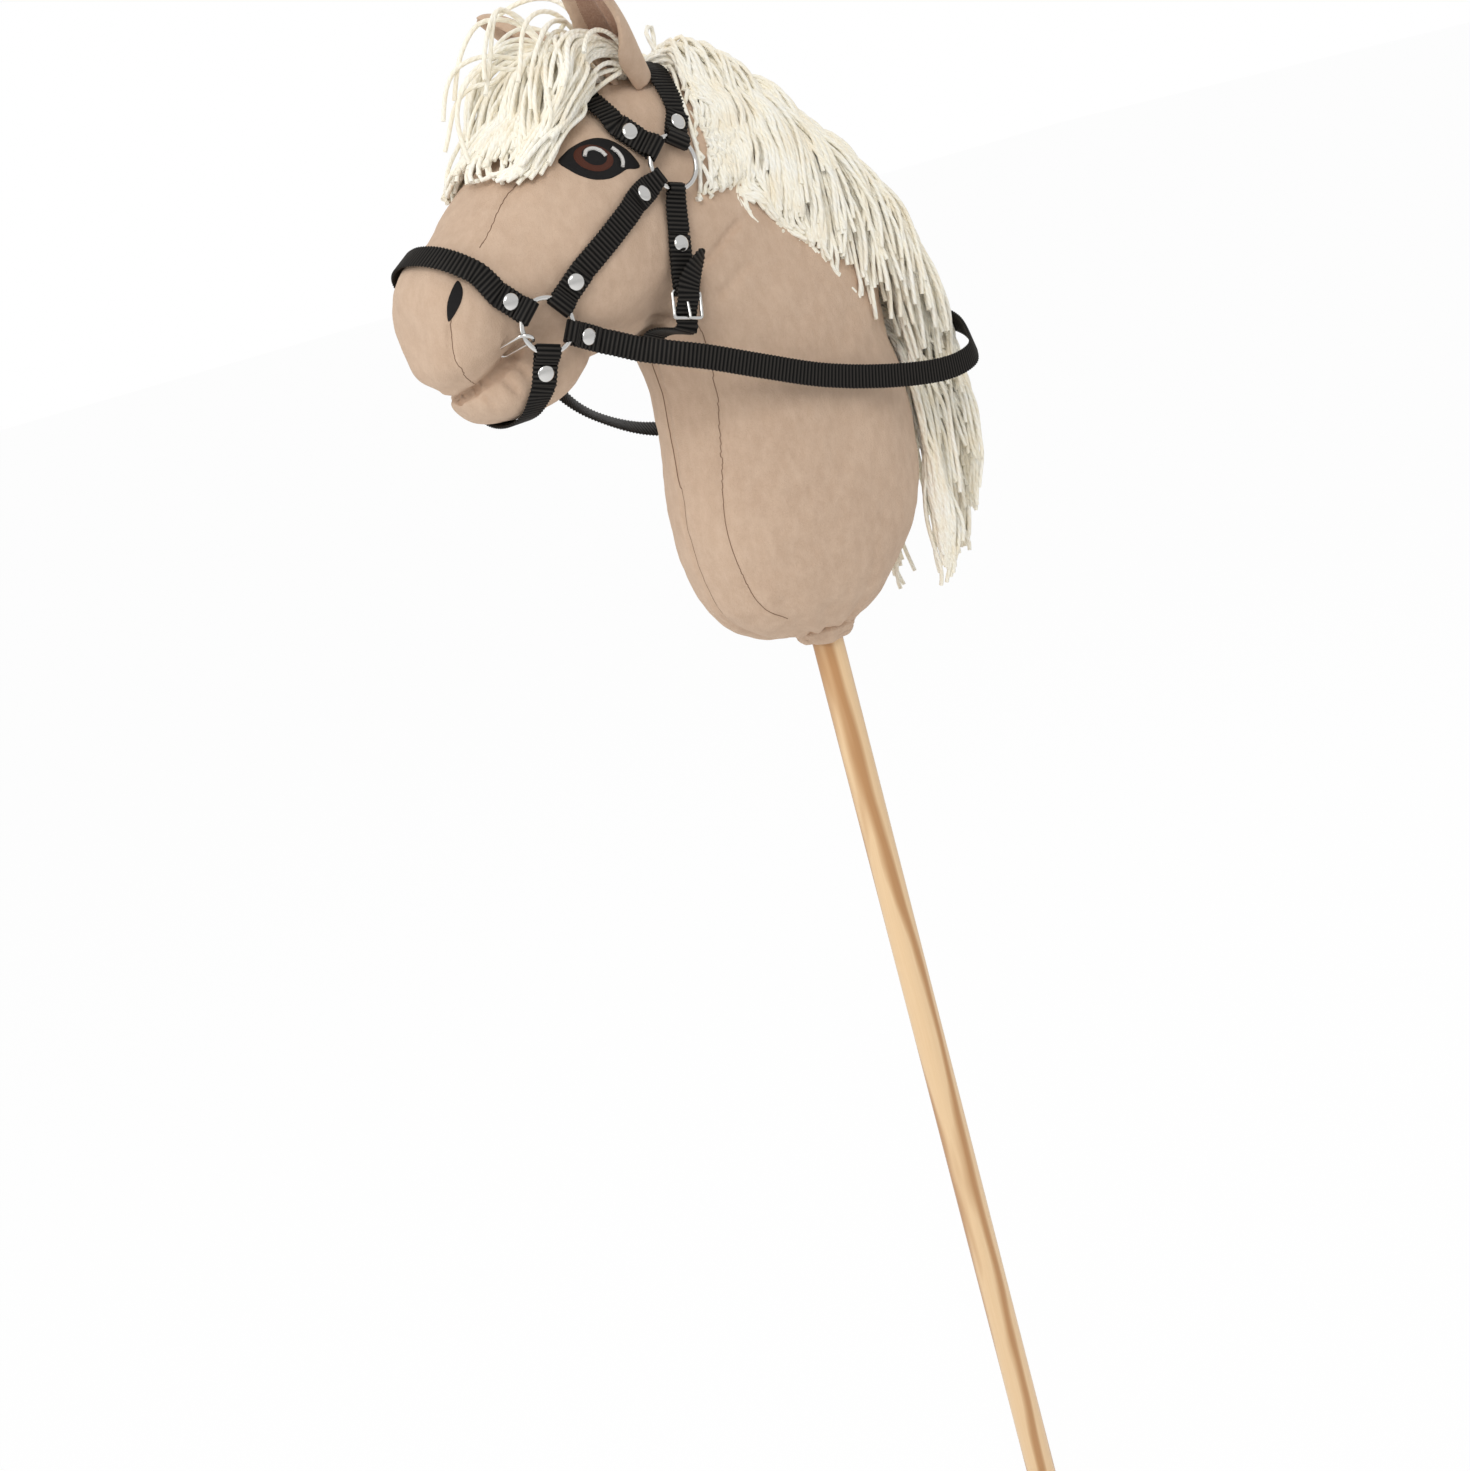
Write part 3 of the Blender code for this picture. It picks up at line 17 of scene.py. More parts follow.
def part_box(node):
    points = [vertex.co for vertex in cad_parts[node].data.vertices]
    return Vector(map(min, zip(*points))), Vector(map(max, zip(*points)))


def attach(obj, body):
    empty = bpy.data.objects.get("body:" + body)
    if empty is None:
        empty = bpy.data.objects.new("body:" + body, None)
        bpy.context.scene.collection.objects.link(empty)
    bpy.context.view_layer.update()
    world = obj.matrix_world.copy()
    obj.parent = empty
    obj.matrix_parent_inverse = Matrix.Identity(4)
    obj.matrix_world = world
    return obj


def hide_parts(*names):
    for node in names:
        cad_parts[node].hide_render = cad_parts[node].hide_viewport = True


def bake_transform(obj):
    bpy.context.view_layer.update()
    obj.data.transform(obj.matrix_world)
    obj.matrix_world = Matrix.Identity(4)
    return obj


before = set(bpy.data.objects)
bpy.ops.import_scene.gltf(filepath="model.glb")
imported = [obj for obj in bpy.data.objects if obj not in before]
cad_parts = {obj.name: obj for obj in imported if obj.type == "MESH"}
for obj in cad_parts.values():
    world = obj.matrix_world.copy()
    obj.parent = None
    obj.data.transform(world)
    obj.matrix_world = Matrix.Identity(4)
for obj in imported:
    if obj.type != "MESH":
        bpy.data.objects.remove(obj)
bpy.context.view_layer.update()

# %% [markdown]
# ## Shared helpers
# Tables are in millimetres, measured from the bottom of the neck, and the scene is in
# metres. A table row for one side of the horse serves the other side with y mirrored.

# %% Places, objects and finishes on them
MM = 0.001
NECK_BOTTOM = 0.650
SIDES = {"left": -1, "right": 1}
ORIGIN = Vector((0, 0, 0))
UP = Vector((0, 0, 1))


def place(x, y, z):
    """A point given in millimetres from the bottom of the neck."""
    return Vector((x, y, z)) * MM + Vector((0, 0, NECK_BOTTOM))


def mirrored(row, side):
    x, y, z = row
    return x, side * y, z


def add_object(name, data):
    obj = bpy.data.objects.new(name, data)
    bpy.context.scene.collection.objects.link(obj)
    return obj


def object_from(bm, name):
    """A new object that takes over a bmesh's geometry."""
    mesh = bpy.data.meshes.new(name)
    bm.to_mesh(mesh)
    bm.free()
    return add_object(name, mesh)


def merge(bm, other):
    """Add another bmesh's geometry, and free that one."""
    mesh = bpy.data.meshes.new("merged")
    other.to_mesh(mesh)
    other.free()
    bm.from_mesh(mesh)
    bpy.data.meshes.remove(mesh)


def tree_from(bm):
    """A search tree of a bmesh's faces, which is freed."""
    tree = BVHTree.FromBMesh(bm)
    bm.free()
    return tree


def dress(mesh, *finishes):
    """Give a mesh these finishes and no others."""
    mesh.materials.clear()
    for finish in finishes:
        mesh.materials.append(finish.material)


# %% [markdown]
# ## Camera
# The toy was photographed leaning, so the stick stands upright here and the camera is
# rolled. Its place and lens come from fitting the stick, the rings and the muzzle.

# %% Place the camera
IMAGE_HEIGHT = 1471
SENSOR = 36.0
FOCAL_PIXELS = 2070.98
CAMERA_AT = (-742.2, -1050.3, 294)
CAMERA_ANGLES = (-32, 15, -15.25)


def view_axes(azimuth_degrees, pitch_degrees, roll_degrees):
    """Right, up and backward directions of a camera."""
    azimuth, pitch, roll = (math.radians(d) for d in (azimuth_degrees, pitch_degrees, roll_degrees))
    back = Vector((math.sin(azimuth) * math.cos(pitch), -math.cos(azimuth) * math.cos(pitch), math.sin(pitch)))
    level = Vector((math.cos(azimuth), math.sin(azimuth), 0))
    rise = back.cross(level)
    right = level * math.cos(roll) + rise * math.sin(roll)
    return right, back.cross(right), back


camera_data = bpy.data.cameras.new("camera")
camera_data.sensor_fit = "VERTICAL"
camera_data.sensor_height = SENSOR
camera_data.lens = FOCAL_PIXELS / IMAGE_HEIGHT * SENSOR
camera = add_object("camera", camera_data)
turned = Matrix(view_axes(*CAMERA_ANGLES)).transposed().to_4x4()
camera.matrix_world = Matrix.Translation(place(*CAMERA_AT)) @ turned
bpy.context.scene.camera = camera
bpy.context.scene.view_settings.view_transform = "Standard"
print("lens:", round(camera_data.lens, 1), "mm")

# %% [markdown]
# ## Writing materials as sums
# A node tree is easier to read as arithmetic. Value wraps an output socket and overloads
# the operators; Finish owns a material and adds any node from its type and inputs.


# %% Shader helpers
class Value:
    """An output socket that can be added and multiplied."""

    def __init__(self, finish, socket):
        self.finish = finish
        self.socket = socket

    def math(self, operation, *others):
        return self.finish.node("ShaderNodeMath", {"operation": operation}, [self, *others])

    def __add__(self, other):
        return self.math("ADD", other)

    def __mul__(self, other):
        return self.math("MULTIPLY", other)

    __radd__ = __add__
    __rmul__ = __mul__


class Finish:
    """A material around one Principled shader."""

    def __init__(self, name, **constants):
        self.material = bpy.data.materials.new(name)
        self.material.use_nodes = True
        self.tree = self.material.node_tree
        self.shader = self.tree.nodes["Principled BSDF"]
        for socket, value in constants.items():
            self.shader.inputs[socket.replace("_", " ")].default_value = value

    def node(self, kind, settings=None, inputs=(), output=0):
        """Add a node; inputs are values or links, listed in order or by name."""
        node = self.tree.nodes.new(kind)
        for name, setting in (settings or {}).items():
            if name == "stops":
                while len(node.color_ramp.elements) < len(setting):
                    node.color_ramp.elements.new(0.5)
                for element, (position, colour) in zip(node.color_ramp.elements, setting):
                    element.position = position
                    element.color = (*colour, 1.0)
            else:
                setattr(node, name, setting)
        pairs = inputs.items() if isinstance(inputs, dict) else enumerate(inputs)
        for key, value in pairs:
            if isinstance(value, Value):
                self.tree.links.new(value.socket, node.inputs[key])
            else:
                node.inputs[key].default_value = value
        return Value(self, node.outputs[output])

    def set(self, socket, value):
        self.tree.links.new(value.socket, self.shader.inputs[socket])

    def where(self, kind="Object", scale=(1, 1, 1)):
        """Coordinates of the surface, stretched along the axes."""
        place_on = self.node("ShaderNodeTexCoord", output=kind)
        if scale == (1, 1, 1):
            return place_on
        return self.node("ShaderNodeVectorMath", {"operation": "MULTIPLY"}, [place_on, scale])

    def noise(self, where, scale, detail=2.0, roughness=0.5):
        inputs = {"Vector": where, "Scale": scale, "Detail": detail, "Roughness": roughness}
        return self.node("ShaderNodeTexNoise", inputs=inputs)

    def ramp(self, value, *stops):
        return self.node("ShaderNodeValToRGB", {"stops": stops}, [value])

    def mix(self, factor, first, second):
        def colour(value):
            return value if isinstance(value, Value) else (*value, 1.0)

        inputs = {0: factor, 6: colour(first), 7: colour(second)}
        return self.node("ShaderNodeMix", {"data_type": "RGBA"}, inputs, output=2)

    def bump(self, height, distance, strength=1.0):
        inputs = {"Strength": strength, "Distance": distance, "Height": height}
        self.set("Normal", self.node("ShaderNodeBump", inputs=inputs))

    def split(self, vector, axis):
        return self.node("ShaderNodeSeparateXYZ", inputs=[vector], output=axis)


# %% [markdown]
# ## Light, floor and background
# Large soft lamps from the front, the left and behind, as in a shop photograph. The world
# is white to the camera and only moderately bright as a light.

# %% Light the scene
WORLD_LIGHT = 0.70
FLOOR_SIZE = 30
FLOOR_BELOW = 0.0005
FLOOR_GLOW = 0.95
world = bpy.data.worlds.new("studio")
world.use_nodes = True
bpy.context.scene.world = world
nodes = world.node_tree.nodes
links = world.node_tree.links
rays = nodes.new("ShaderNodeLightPath")
strength = nodes.new("ShaderNodeMapRange")
strength.inputs["To Min"].default_value = WORLD_LIGHT
strength.inputs["To Max"].default_value = 1.0
links.new(rays.outputs["Is Camera Ray"], strength.inputs["Value"])
links.new(strength.outputs[0], nodes["Background"].inputs["Strength"])
nodes["Background"].inputs["Color"].default_value = (1, 1, 1, 1)


def lamp(name, at, aim, size, watts):
    """A square soft lamp that looks at a point."""
    data = bpy.data.lights.new(name, "AREA")
    data.shape = "SQUARE"
    data.size = size
    data.energy = watts
    obj = add_object(name, data)
    obj.location = at
    obj.rotation_euler = (Vector(at) - aim).to_track_quat("Z", "Y").to_euler()


HEAD_MIDDLE = place(-60, 0, 250)
lamp("key_lamp", (-1.3, -1.5, 2.1), HEAD_MIDDLE, 1.0, 17)
lamp("left_lamp", (-1.9, 0.5, 1.5), HEAD_MIDDLE, 1.2, 9)
lamp("rear_lamp", (1.2, 0.9, 2.0), HEAD_MIDDLE, 1.0, 9)

floor_bm = bmesh.new()
bmesh.ops.create_grid(floor_bm, x_segments=1, y_segments=1, size=FLOOR_SIZE)
bmesh.ops.translate(floor_bm, verts=floor_bm.verts, vec=(0, 0, -FLOOR_BELOW))
floor = object_from(floor_bm, "floor")
paper = Finish("studio_paper", Roughness=0.95, Base_Color=(0.9, 0.9, 0.9, 1))
paper_rays = paper.node("ShaderNodeLightPath", output="Is Camera Ray")
glow = paper.node("ShaderNodeEmission", inputs=[(1, 1, 1, 1), 1.0])
show = paper.node("ShaderNodeMixShader", inputs=[paper_rays * FLOOR_GLOW])
paper.tree.links.new(paper.shader.outputs[0], show.socket.node.inputs[1])
paper.tree.links.new(glow.socket, show.socket.node.inputs[2])
paper.tree.links.new(show.socket, paper.tree.nodes["Material Output"].inputs["Surface"])
dress(floor.data, paper)

# %% [markdown]
# ## Finishes
# Velour is a short cotton pile: matt, a little lighter where it is seen edge on, with fine
# grain, broad soft mottling and lighter streaks of painted sheen along the nap. Wool yarn is
# cream with painted warmer shade in the twist between the plies of each strand. Webbing is
# nearly black, with painted highlights on its ribs and painted shade between them; plated
# steel is bright, and pine has long brown grain.

# %% Make the cloth finishes
velour = Finish(
    "velour", Roughness=0.92, Sheen_Weight=0.22, Sheen_Roughness=0.55, Sheen_Tint=(0.95, 0.82, 0.68, 1),
    Specular_IOR_Level=0.12,
)
on_cloth = velour.where()
mottling = velour.noise(on_cloth, 16.0, 4.0, 0.6)
pile = velour.noise(on_cloth, 900.0, 3.0, 0.7)
beige = velour.ramp(mottling, (0.30, (0.555, 0.395, 0.285)), (0.70, (0.63, 0.46, 0.335)))
nap = velour.noise(velour.where("Object", (1, 1, 0.6)), 170.0, 4.0, 0.65)
napped = velour.mix(pile * 0.5, beige, (0.47, 0.325, 0.225))
# Painted sheen: streaks along the nap are painted lighter, as where the pile catches the light.
nap_sheen = velour.ramp(nap, (0.38, (0, 0, 0)), (0.72, (0.5, 0.5, 0.5)))
velour.set("Base Color", velour.mix(nap_sheen, napped, (0.69, 0.52, 0.39)))
velour.bump(pile * 0.8 + nap * 0.9 + velour.noise(on_cloth, 2400.0) * 0.5, 0.0007, 0.7)

# Turns of the two plies along one strand
TWISTS = 24.0
wool = Finish("wool_yarn", Roughness=0.9, Sheen_Weight=0.25, Sheen_Roughness=0.6, Specular_IOR_Level=0.1)
on_yarn = wool.where()
strand_tone = wool.noise(on_yarn, 70.0, 2.0)
cream = wool.ramp(strand_tone, (0.32, (0.96, 0.89, 0.74)), (0.5, (0.99, 0.95, 0.83)), (0.7, (0.99, 0.97, 0.89)))
wound = wool.node("ShaderNodeTexCoord", output="UV")
twist = (wool.split(wound, "X") * TWISTS + wool.split(wound, "Y") * 2.0) * (2 * math.pi)
ply_relief_and_shade = twist.math("SINE") * 0.5 + 0.5
# Painted shade: the grooves of the twist between the plies are painted a warmer, darker cream.
wool.set("Base Color", wool.mix(ply_relief_and_shade, wool.mix(0.22, cream, (0.80, 0.68, 0.48)), cream))
wool.bump(ply_relief_and_shade * 1.5 + wool.noise(on_yarn, 1500.0, 3.0, 0.7) * 0.7, 0.0005, 0.4)

polyester = Finish("webbing", Roughness=0.5, Specular_IOR_Level=0.1)
on_tape = polyester.where()
fibres = polyester.noise(on_tape, 1500.0, 2.0)
# Painted highlight and shade: rib tops are painted lighter and the grooves between ribs darker.
rib_light_share = polyester.node("ShaderNodeAttribute", {"attribute_name": "rib"}, output="Fac")
rib_highlight_and_shade = polyester.ramp(rib_light_share, (0.25, (0.0015, 0.0014, 0.0013)), (0.95, (0.048, 0.043, 0.038)))
polyester.set("Base Color", polyester.mix(fibres * 0.4, rib_highlight_and_shade, (0.008, 0.0075, 0.007)))
polyester.bump(fibres, 0.0004, 0.5)

STITCH_PITCH = 0.0006


def stitches(name, colour, shade, turn):
    """Satin stitch: close parallel threads at an angle."""
    thread = Finish(name, Roughness=0.6, Specular_IOR_Level=0.2)
    where = thread.where()
    along = thread.split(where, "X") * math.cos(turn) + thread.split(where, "Z") * math.sin(turn)
    rows = (along * (2 * math.pi / STITCH_PITCH)).math("SINE") * 0.5 + 0.5
    # Painted shade: the grooves between the threads take the darker shade colour.
    thread.set("Base Color", thread.mix(rows, shade, colour))
    thread.bump(rows, 0.0003, 0.7)
    return thread


black_thread = stitches("black_thread", (0.016, 0.014, 0.014), (0.006, 0.006, 0.006), 1.3)
brown_thread = stitches("brown_thread", (0.115, 0.036, 0.02), (0.055, 0.016, 0.009), 0.4)
white_thread = stitches("white_thread", (0.82, 0.80, 0.77), (0.55, 0.53, 0.50), 0.9)
seam_thread = Finish("seam_thread", Roughness=0.85, Base_Color=(0.20, 0.12, 0.075, 1))

# %% [markdown]
# Metal shows mostly what it mirrors, so its roughness matters most. The pine's grain is
# made of bands and noise that are stretched along the stick.

# %% Make the metal and wood finishes
plate = Finish("nickel_plate", Metallic=1.0, Base_Color=(0.71, 0.70, 0.68, 1))
plate.set("Roughness", plate.noise(plate.where(), 300.0, 3.0) * 0.16 + 0.08)

pine = Finish("pine", Roughness=0.42, Coat_Weight=0.25, Coat_Roughness=0.25, Specular_IOR_Level=0.4)
grain_place = pine.where("Object", (1, 1, 0.05))
bent = pine.noise(pine.where("Object", (1, 1, 0.12)), 30.0, 3.0)
bands = (pine.split(grain_place, "X") * 420.0 + pine.split(grain_place, "Y") * 170.0 + bent * 9.0).math("SINE")
fine_grain = pine.noise(pine.where("Object", (1, 1, 0.02)), 900.0, 4.0, 0.65)
late_wood = pine.ramp(bands * 0.5 + 0.5, (0.55, (0, 0, 0)), (0.97, (1, 1, 1)))
pale = pine.mix(fine_grain, (0.78, 0.53, 0.29), (0.86, 0.63, 0.38))
pine.set("Base Color", pine.mix(late_wood, pale, (0.50, 0.26, 0.105)))
pine.bump(fine_grain, 0.0003, 0.3)

# %% [markdown]
# ## Outlines joined into skins
# The stuffed head, neck and jaw are drawn as slices, like the ribs of a boat. A smooth
# curve runs through the slices, and a loop of edges is extruded from one to the next.


# %% Curves and lofts
def curve_through(rows, count, trim=0):
    """Rows on a smooth curve through the given rows, less some rows at both ends."""
    rows = np.array(rows, dtype=float)
    padded = np.vstack([2 * rows[0] - rows[1], rows, 2 * rows[-1] - rows[-2]])
    curve = []
    for along in np.linspace(trim, len(rows) - 1 - trim, count):
        i = min(int(along), len(rows) - 2)
        t = along - i
        a, b, c, d = padded[i : i + 4]
        cubic = (3 * b - a - 3 * c + d) * t**3
        square = (2 * a - 5 * b + 4 * c - d) * t**2
        curve.append(0.5 * (2 * b + (c - a) * t + square + cubic))
    return np.array(curve)


def even_steps(rows, step):
    """The same line with points an even step apart, measured on its first 3 numbers."""
    rows = np.array(rows, dtype=float)
    lengths = np.linalg.norm(np.diff(rows[:, :3], axis=0), axis=1)
    along = np.concatenate([[0], np.cumsum(lengths)])
    count = max(2, round(along[-1] / step) + 1)
    marks = np.linspace(0, along[-1], count)
    return np.stack([np.interp(marks, along, column) for column in rows.T], axis=1)


def line_through(guide, step, trim=0):
    """Points an even step apart on a smooth curve through guide points."""
    curve = curve_through([(*point,) for point in guide], 12 * len(guide), trim)
    return [Vector(row) for row in even_steps(curve, step)]


def tangent_at(points, i):
    return (points[min(i + 1, len(points) - 1)] - points[max(i - 1, 0)]).normalized()


def square_to(vector, axis):
    """The direction of a vector once its part along an axis is taken away."""
    return (vector - axis * vector.dot(axis)).normalized()


def ring_edges(bm, ring):
    return [bm.edges.get((a, b)) for a, b in zip(ring, ring[1:] + ring[:1])]


def ring_next(bm, ring):
    """Extrude a loop of vertices and give the new loop in the same order."""
    made = bmesh.ops.extrude_edge_only(bm, edges=ring_edges(bm, ring))["geom"]
    fresh = {g for g in made if isinstance(g, bmesh.types.BMVert)}
    return [next(e.other_vert(v) for e in v.link_edges if e.other_vert(v) in fresh) for v in ring]


def loft(rings):
    """A skin extruded from ring to ring and capped at both ends."""
    bm = bmesh.new()
    ring = bmesh.ops.create_circle(bm, segments=len(rings[0]), radius=1, cap_ends=True)["verts"]
    for index, points in enumerate(rings):
        if index:
            ring = ring_next(bm, ring)
        for vertex, point in zip(ring, points):
            vertex.co = point
    bmesh.ops.contextual_create(bm, geom=ring_edges(bm, ring))
    return bm


def split_alike(bm):
    """Split all squares the same way."""
    squares = [face for face in bm.faces if len(face.verts) == 4]
    bmesh.ops.triangulate(bm, faces=squares, quad_method="FIXED")
    return bm


def oval(centre, across, up, half_across, half_up, power, sides):
    """Points of an oval; a power above 2 squares it off."""
    points = []
    for k in range(sides):
        angle = 2 * math.pi * (k + 0.5) / sides
        c = math.cos(angle)
        s = math.sin(angle)
        x = math.copysign(abs(c) ** (2 / power), c)
        y = math.copysign(abs(s) ** (2 / power), s)
        points.append(centre + across * (half_across * x) + up * (half_up * y))
    return points


def add_piece(name, bm, finish, body="horse", sharp_degrees=50):
    """Put a bmesh in the scene as a piece that rides on a body."""
    bmesh.ops.recalc_face_normals(bm, faces=bm.faces)
    obj = object_from(bm, name)
    obj.data.shade_smooth()
    obj.data.set_sharp_from_angle(angle=math.radians(sharp_degrees))
    dress(obj.data, finish)
    if body:
        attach(obj, body)
    return obj


# %% [markdown]
# ## The stuffed pieces, slice by slice
# Each row is one slice: how far along, where its middle is, and its half height and half
# width in millimetres. The last number of a neck row squares the oval off a little.

# %% Slices of the neck, head and jaw
NECK_STATIONS = [
    (4, -2, 13, 13, 2.1), (8, -4, 31, 25, 2.1), (17, -7, 49, 37, 2.1), (33, -6, 66, 50, 2.1),
    (58, 0, 80, 59, 2.1), (92, 5, 88, 63, 2.1), (144, 10, 86, 62, 2.1), (176, 10, 83, 59, 2.1),
    (203, 8, 86, 56, 2.4), (228, 1, 94, 53, 3.0), (258, -6, 92, 51, 3.4), (290, -16, 80, 48, 3.4),
    (318, -27, 63, 43, 3.0), (340, -36, 44, 33, 2.6), (354, -40, 24, 18, 2.2), (360, -42, 8, 6, 2.2),
]
HEAD_AXIS_AT = (-50.0, 290.0)
HEAD_DROP_DEGREES = 25.0
HEAD_STATIONS = [
    (-34, 30, 14, 10), (-26, 27, 30, 19), (-10, 20, 50, 31), (6, 13, 62, 40), (28, 9, 71, 52),
    (54, 9, 70, 59), (80, 12, 62, 56), (104, 15, 55, 49), (122, 21, 44, 44), (137, 28, 36, 42),
    (150, 27.5, 34.5, 40), (161, 24, 31, 35), (168, 21, 25, 28), (172, 19, 15, 17), (173, 18, 5, 6),
]
JAW_STATIONS = [
    (88, -24, 5, 10), (94, -25, 13, 24), (108, -25, 19, 36), (126, -25, 22, 38),
    (146, -23, 20, 35), (160, -20, 17, 30), (171, -17, 12, 22), (176, -15, 5, 9),
]
BODY_POWER = 2.2


def neck_rings(sides=26, count=21):
    rings = []
    for z, x, depth, width, power in curve_through(NECK_STATIONS, count):
        centre = place(x, 0, z)
        rings.append(oval(centre, Vector((1, 0, 0)), Vector((0, 1, 0)), depth * MM, width * MM, power, sides))
    return rings


def axis_rings(stations, sides, count):
    """Rings square to the head's axis, which drops towards the nose."""
    drop = math.radians(HEAD_DROP_DEGREES)
    forward = Vector((-math.cos(drop), 0, -math.sin(drop)))
    up = Vector((-math.sin(drop), 0, math.cos(drop)))
    start = place(HEAD_AXIS_AT[0], 0, HEAD_AXIS_AT[1])
    rings = []
    for along, above, height, width in curve_through(stations, count):
        centre = start + forward * (along * MM) + up * (above * MM)
        rings.append(oval(centre, Vector((0, 1, 0)), up, max(width * MM, 0.001), max(height * MM, 0.001),
                          BODY_POWER, sides))
    return rings


# %% [markdown]
# ## Stuffing
# The three bodies are melted into one cushion by a voxel remesh. Cloth with air pressure
# then swells it as stuffing does, with the movement capped and the foot held still.


# %% Swell a cushion
SWELL_FRAMES = 20


def evaluated_mesh(obj):
    """The object's mesh with its modifiers applied, as a new mesh."""
    depsgraph = bpy.context.evaluated_depsgraph_get()
    depsgraph.update()
    return bpy.data.meshes.new_from_object(obj.evaluated_get(depsgraph), depsgraph=depsgraph).copy()


def apply_modifiers(obj):
    mesh = evaluated_mesh(obj)
    obj.modifiers.clear()
    obj.data = mesh
    return obj


def subdivide(obj):
    modifier = obj.modifiers.new("subdivide", "SUBSURF")
    modifier.levels = 1
    modifier.render_levels = 1
    apply_modifiers(obj)


def vectors_of(items, name):
    flat = np.empty(len(items) * 3)
    items.foreach_get(name, flat)
    return flat.reshape(-1, 3)


def coordinates(mesh):
    return vectors_of(mesh.vertices, "co")


def vertex_normals(mesh):
    return vectors_of(mesh.vertex_normals, "vector")


def set_coordinates(mesh, points):
    mesh.vertices.foreach_set("co", np.ascontiguousarray(points, dtype=float).ravel())
    mesh.update()


def melted(bm, name, voxel):
    """Closed shells joined into one even mesh."""
    obj = object_from(bm, name)
    remesh = obj.modifiers.new("remesh", "REMESH")
    remesh.mode = "VOXEL"
    remesh.voxel_size = voxel
    smooth = obj.modifiers.new("smooth", "SMOOTH")
    smooth.factor = 0.5
    smooth.iterations = 6
    return apply_modifiers(obj)


def swell(obj, cap, held, pressure=4.0):
    """Cloth under pressure, no further than a cap from where it started."""
    start = coordinates(obj.data).copy()
    pins = obj.vertex_groups.new(name="held")
    for index in np.nonzero(held(start))[0]:
        pins.add([int(index)], 1.0, "REPLACE")
    cloth = obj.modifiers.new("cloth", "CLOTH")
    cloth.settings.use_pressure = True
    cloth.settings.uniform_pressure_force = pressure
    cloth.settings.vertex_group_mass = "held"
    cloth.settings.quality = 5
    cloth.settings.effector_weights.gravity = 0
    cloth.point_cache.frame_start = 1
    cloth.point_cache.frame_end = SWELL_FRAMES
    for step in range(1, SWELL_FRAMES + 1):
        bpy.context.scene.frame_set(step)
    apply_modifiers(obj)
    bpy.context.scene.frame_set(1)
    obj.vertex_groups.clear()
    moved = coordinates(obj.data) - start
    reach = np.linalg.norm(moved, axis=1, keepdims=True)
    moved *= np.minimum(1.0, cap / np.maximum(reach, 1e-9))
    set_coordinates(obj.data, start + moved)
    print(obj.name, "swelled by up to", round(float(np.minimum(reach, cap).max()) * 1000, 2), "mm")


# %% [markdown]
# The neck, head and jaw are lofted, melted together and swelled as one cushion.

# %% Make the cushion of the head, neck and jaw
SKIN_VOXEL = 0.0034
SKIN_SWELL = 0.0012
FOOT_HELD = 0.020
parts = bmesh.new()
for rings in (neck_rings(64, 61), axis_rings(HEAD_STATIONS, 64, 61), axis_rings(JAW_STATIONS, 48, 31)):
    shell = loft(rings)
    bmesh.ops.recalc_face_normals(shell, faces=shell.faces)
    merge(parts, shell)
horse_skin = melted(parts, "stuffed_head_and_neck", SKIN_VOXEL)
swell(horse_skin, SKIN_SWELL, lambda points: points[:, 2] < NECK_BOTTOM + FOOT_HELD)
subdivide(horse_skin)
print("cushion:", len(horse_skin.data.polygons), "faces")

# %% [markdown]
# ## Seams, darts and creases
# Where panels are sewn the cloth is drawn in along a narrow line. Each line is a few
# places on the left side; the cloth near it is pressed in, most at the line itself. A
# crease adds its depth and half width. The right side has the same lines, mirrored.

# %% Draw the cloth in
SEAMS = {
    "muzzle_seam": [(-211, -33, 254), (-212, -31, 249), (-212, -29, 243), (-211, -27, 237), (-209, -25, 232),
                    (-205, -21, 224), (-198, -14, 215)],
    "face_seam": [(-139, -35, 320), (-148, -34, 314), (-157, -32, 308), (-171, -33, 297), (-182, -33, 286)],
    "neck_seam": [(-68, -41, 220), (-63, -41, 211), (-60, -40, 204), (-58, -37, 192), (-58, -36, 179),
                  (-59, -35, 165), (-62, -34, 150), (-68, -32, 121), (-72, -30, 95), (-71, -30, 67),
                  (-63, -30, 40), (-48, -33, 26)],
    "throat_seam": [(-76, 0, 196), (-75, 0, 161), (-77, 0, 137), (-78, 0, 111), (-76, 0, 85), (-70, 0, 60),
                    (-58, 0, 36), (-40, 0, 18)],
}
CREASES = {
    "lip": ([(-206, 0, 211), (-203, -9, 212), (-198, -16, 214), (-190, -19, 218), (-181, -18, 223),
             (-174, -20, 227), (-172, -26, 231)], 6.4, 2.7),
    "jaw_fold_front": ([(-200, -18, 211), (-197, -23, 204), (-194, -21, 198)], 2.4, 1.9),
    "jaw_fold_middle": ([(-186, -23, 218), (-185, -30, 210), (-182, -31, 203)], 2.7, 1.9),
    "jaw_fold_rear": ([(-180, -21, 222), (-176, -30, 218), (-175, -34, 210)], 2.4, 1.9),
    "dart": ([(-20, -50, 262), (-38, -51, 252), (-54, -49, 241), (-61, -47, 232), (-66, -43, 220)], 2.6, 2.8),
    "faint_fold": ([(-22, -52, 237), (-37, -52, 230), (-52, -49, 222)], 1.9, 3.2),
    "throat_fold": ([(-92, -34, 226), (-82, -38, 214), (-76, -36, 203)], 2.4, 3.4),
}
SEAM_DEPTH = 0.9
SEAM_WIDTH = 1.9
END_FADE = 0.006
END_SHARE = 0.25


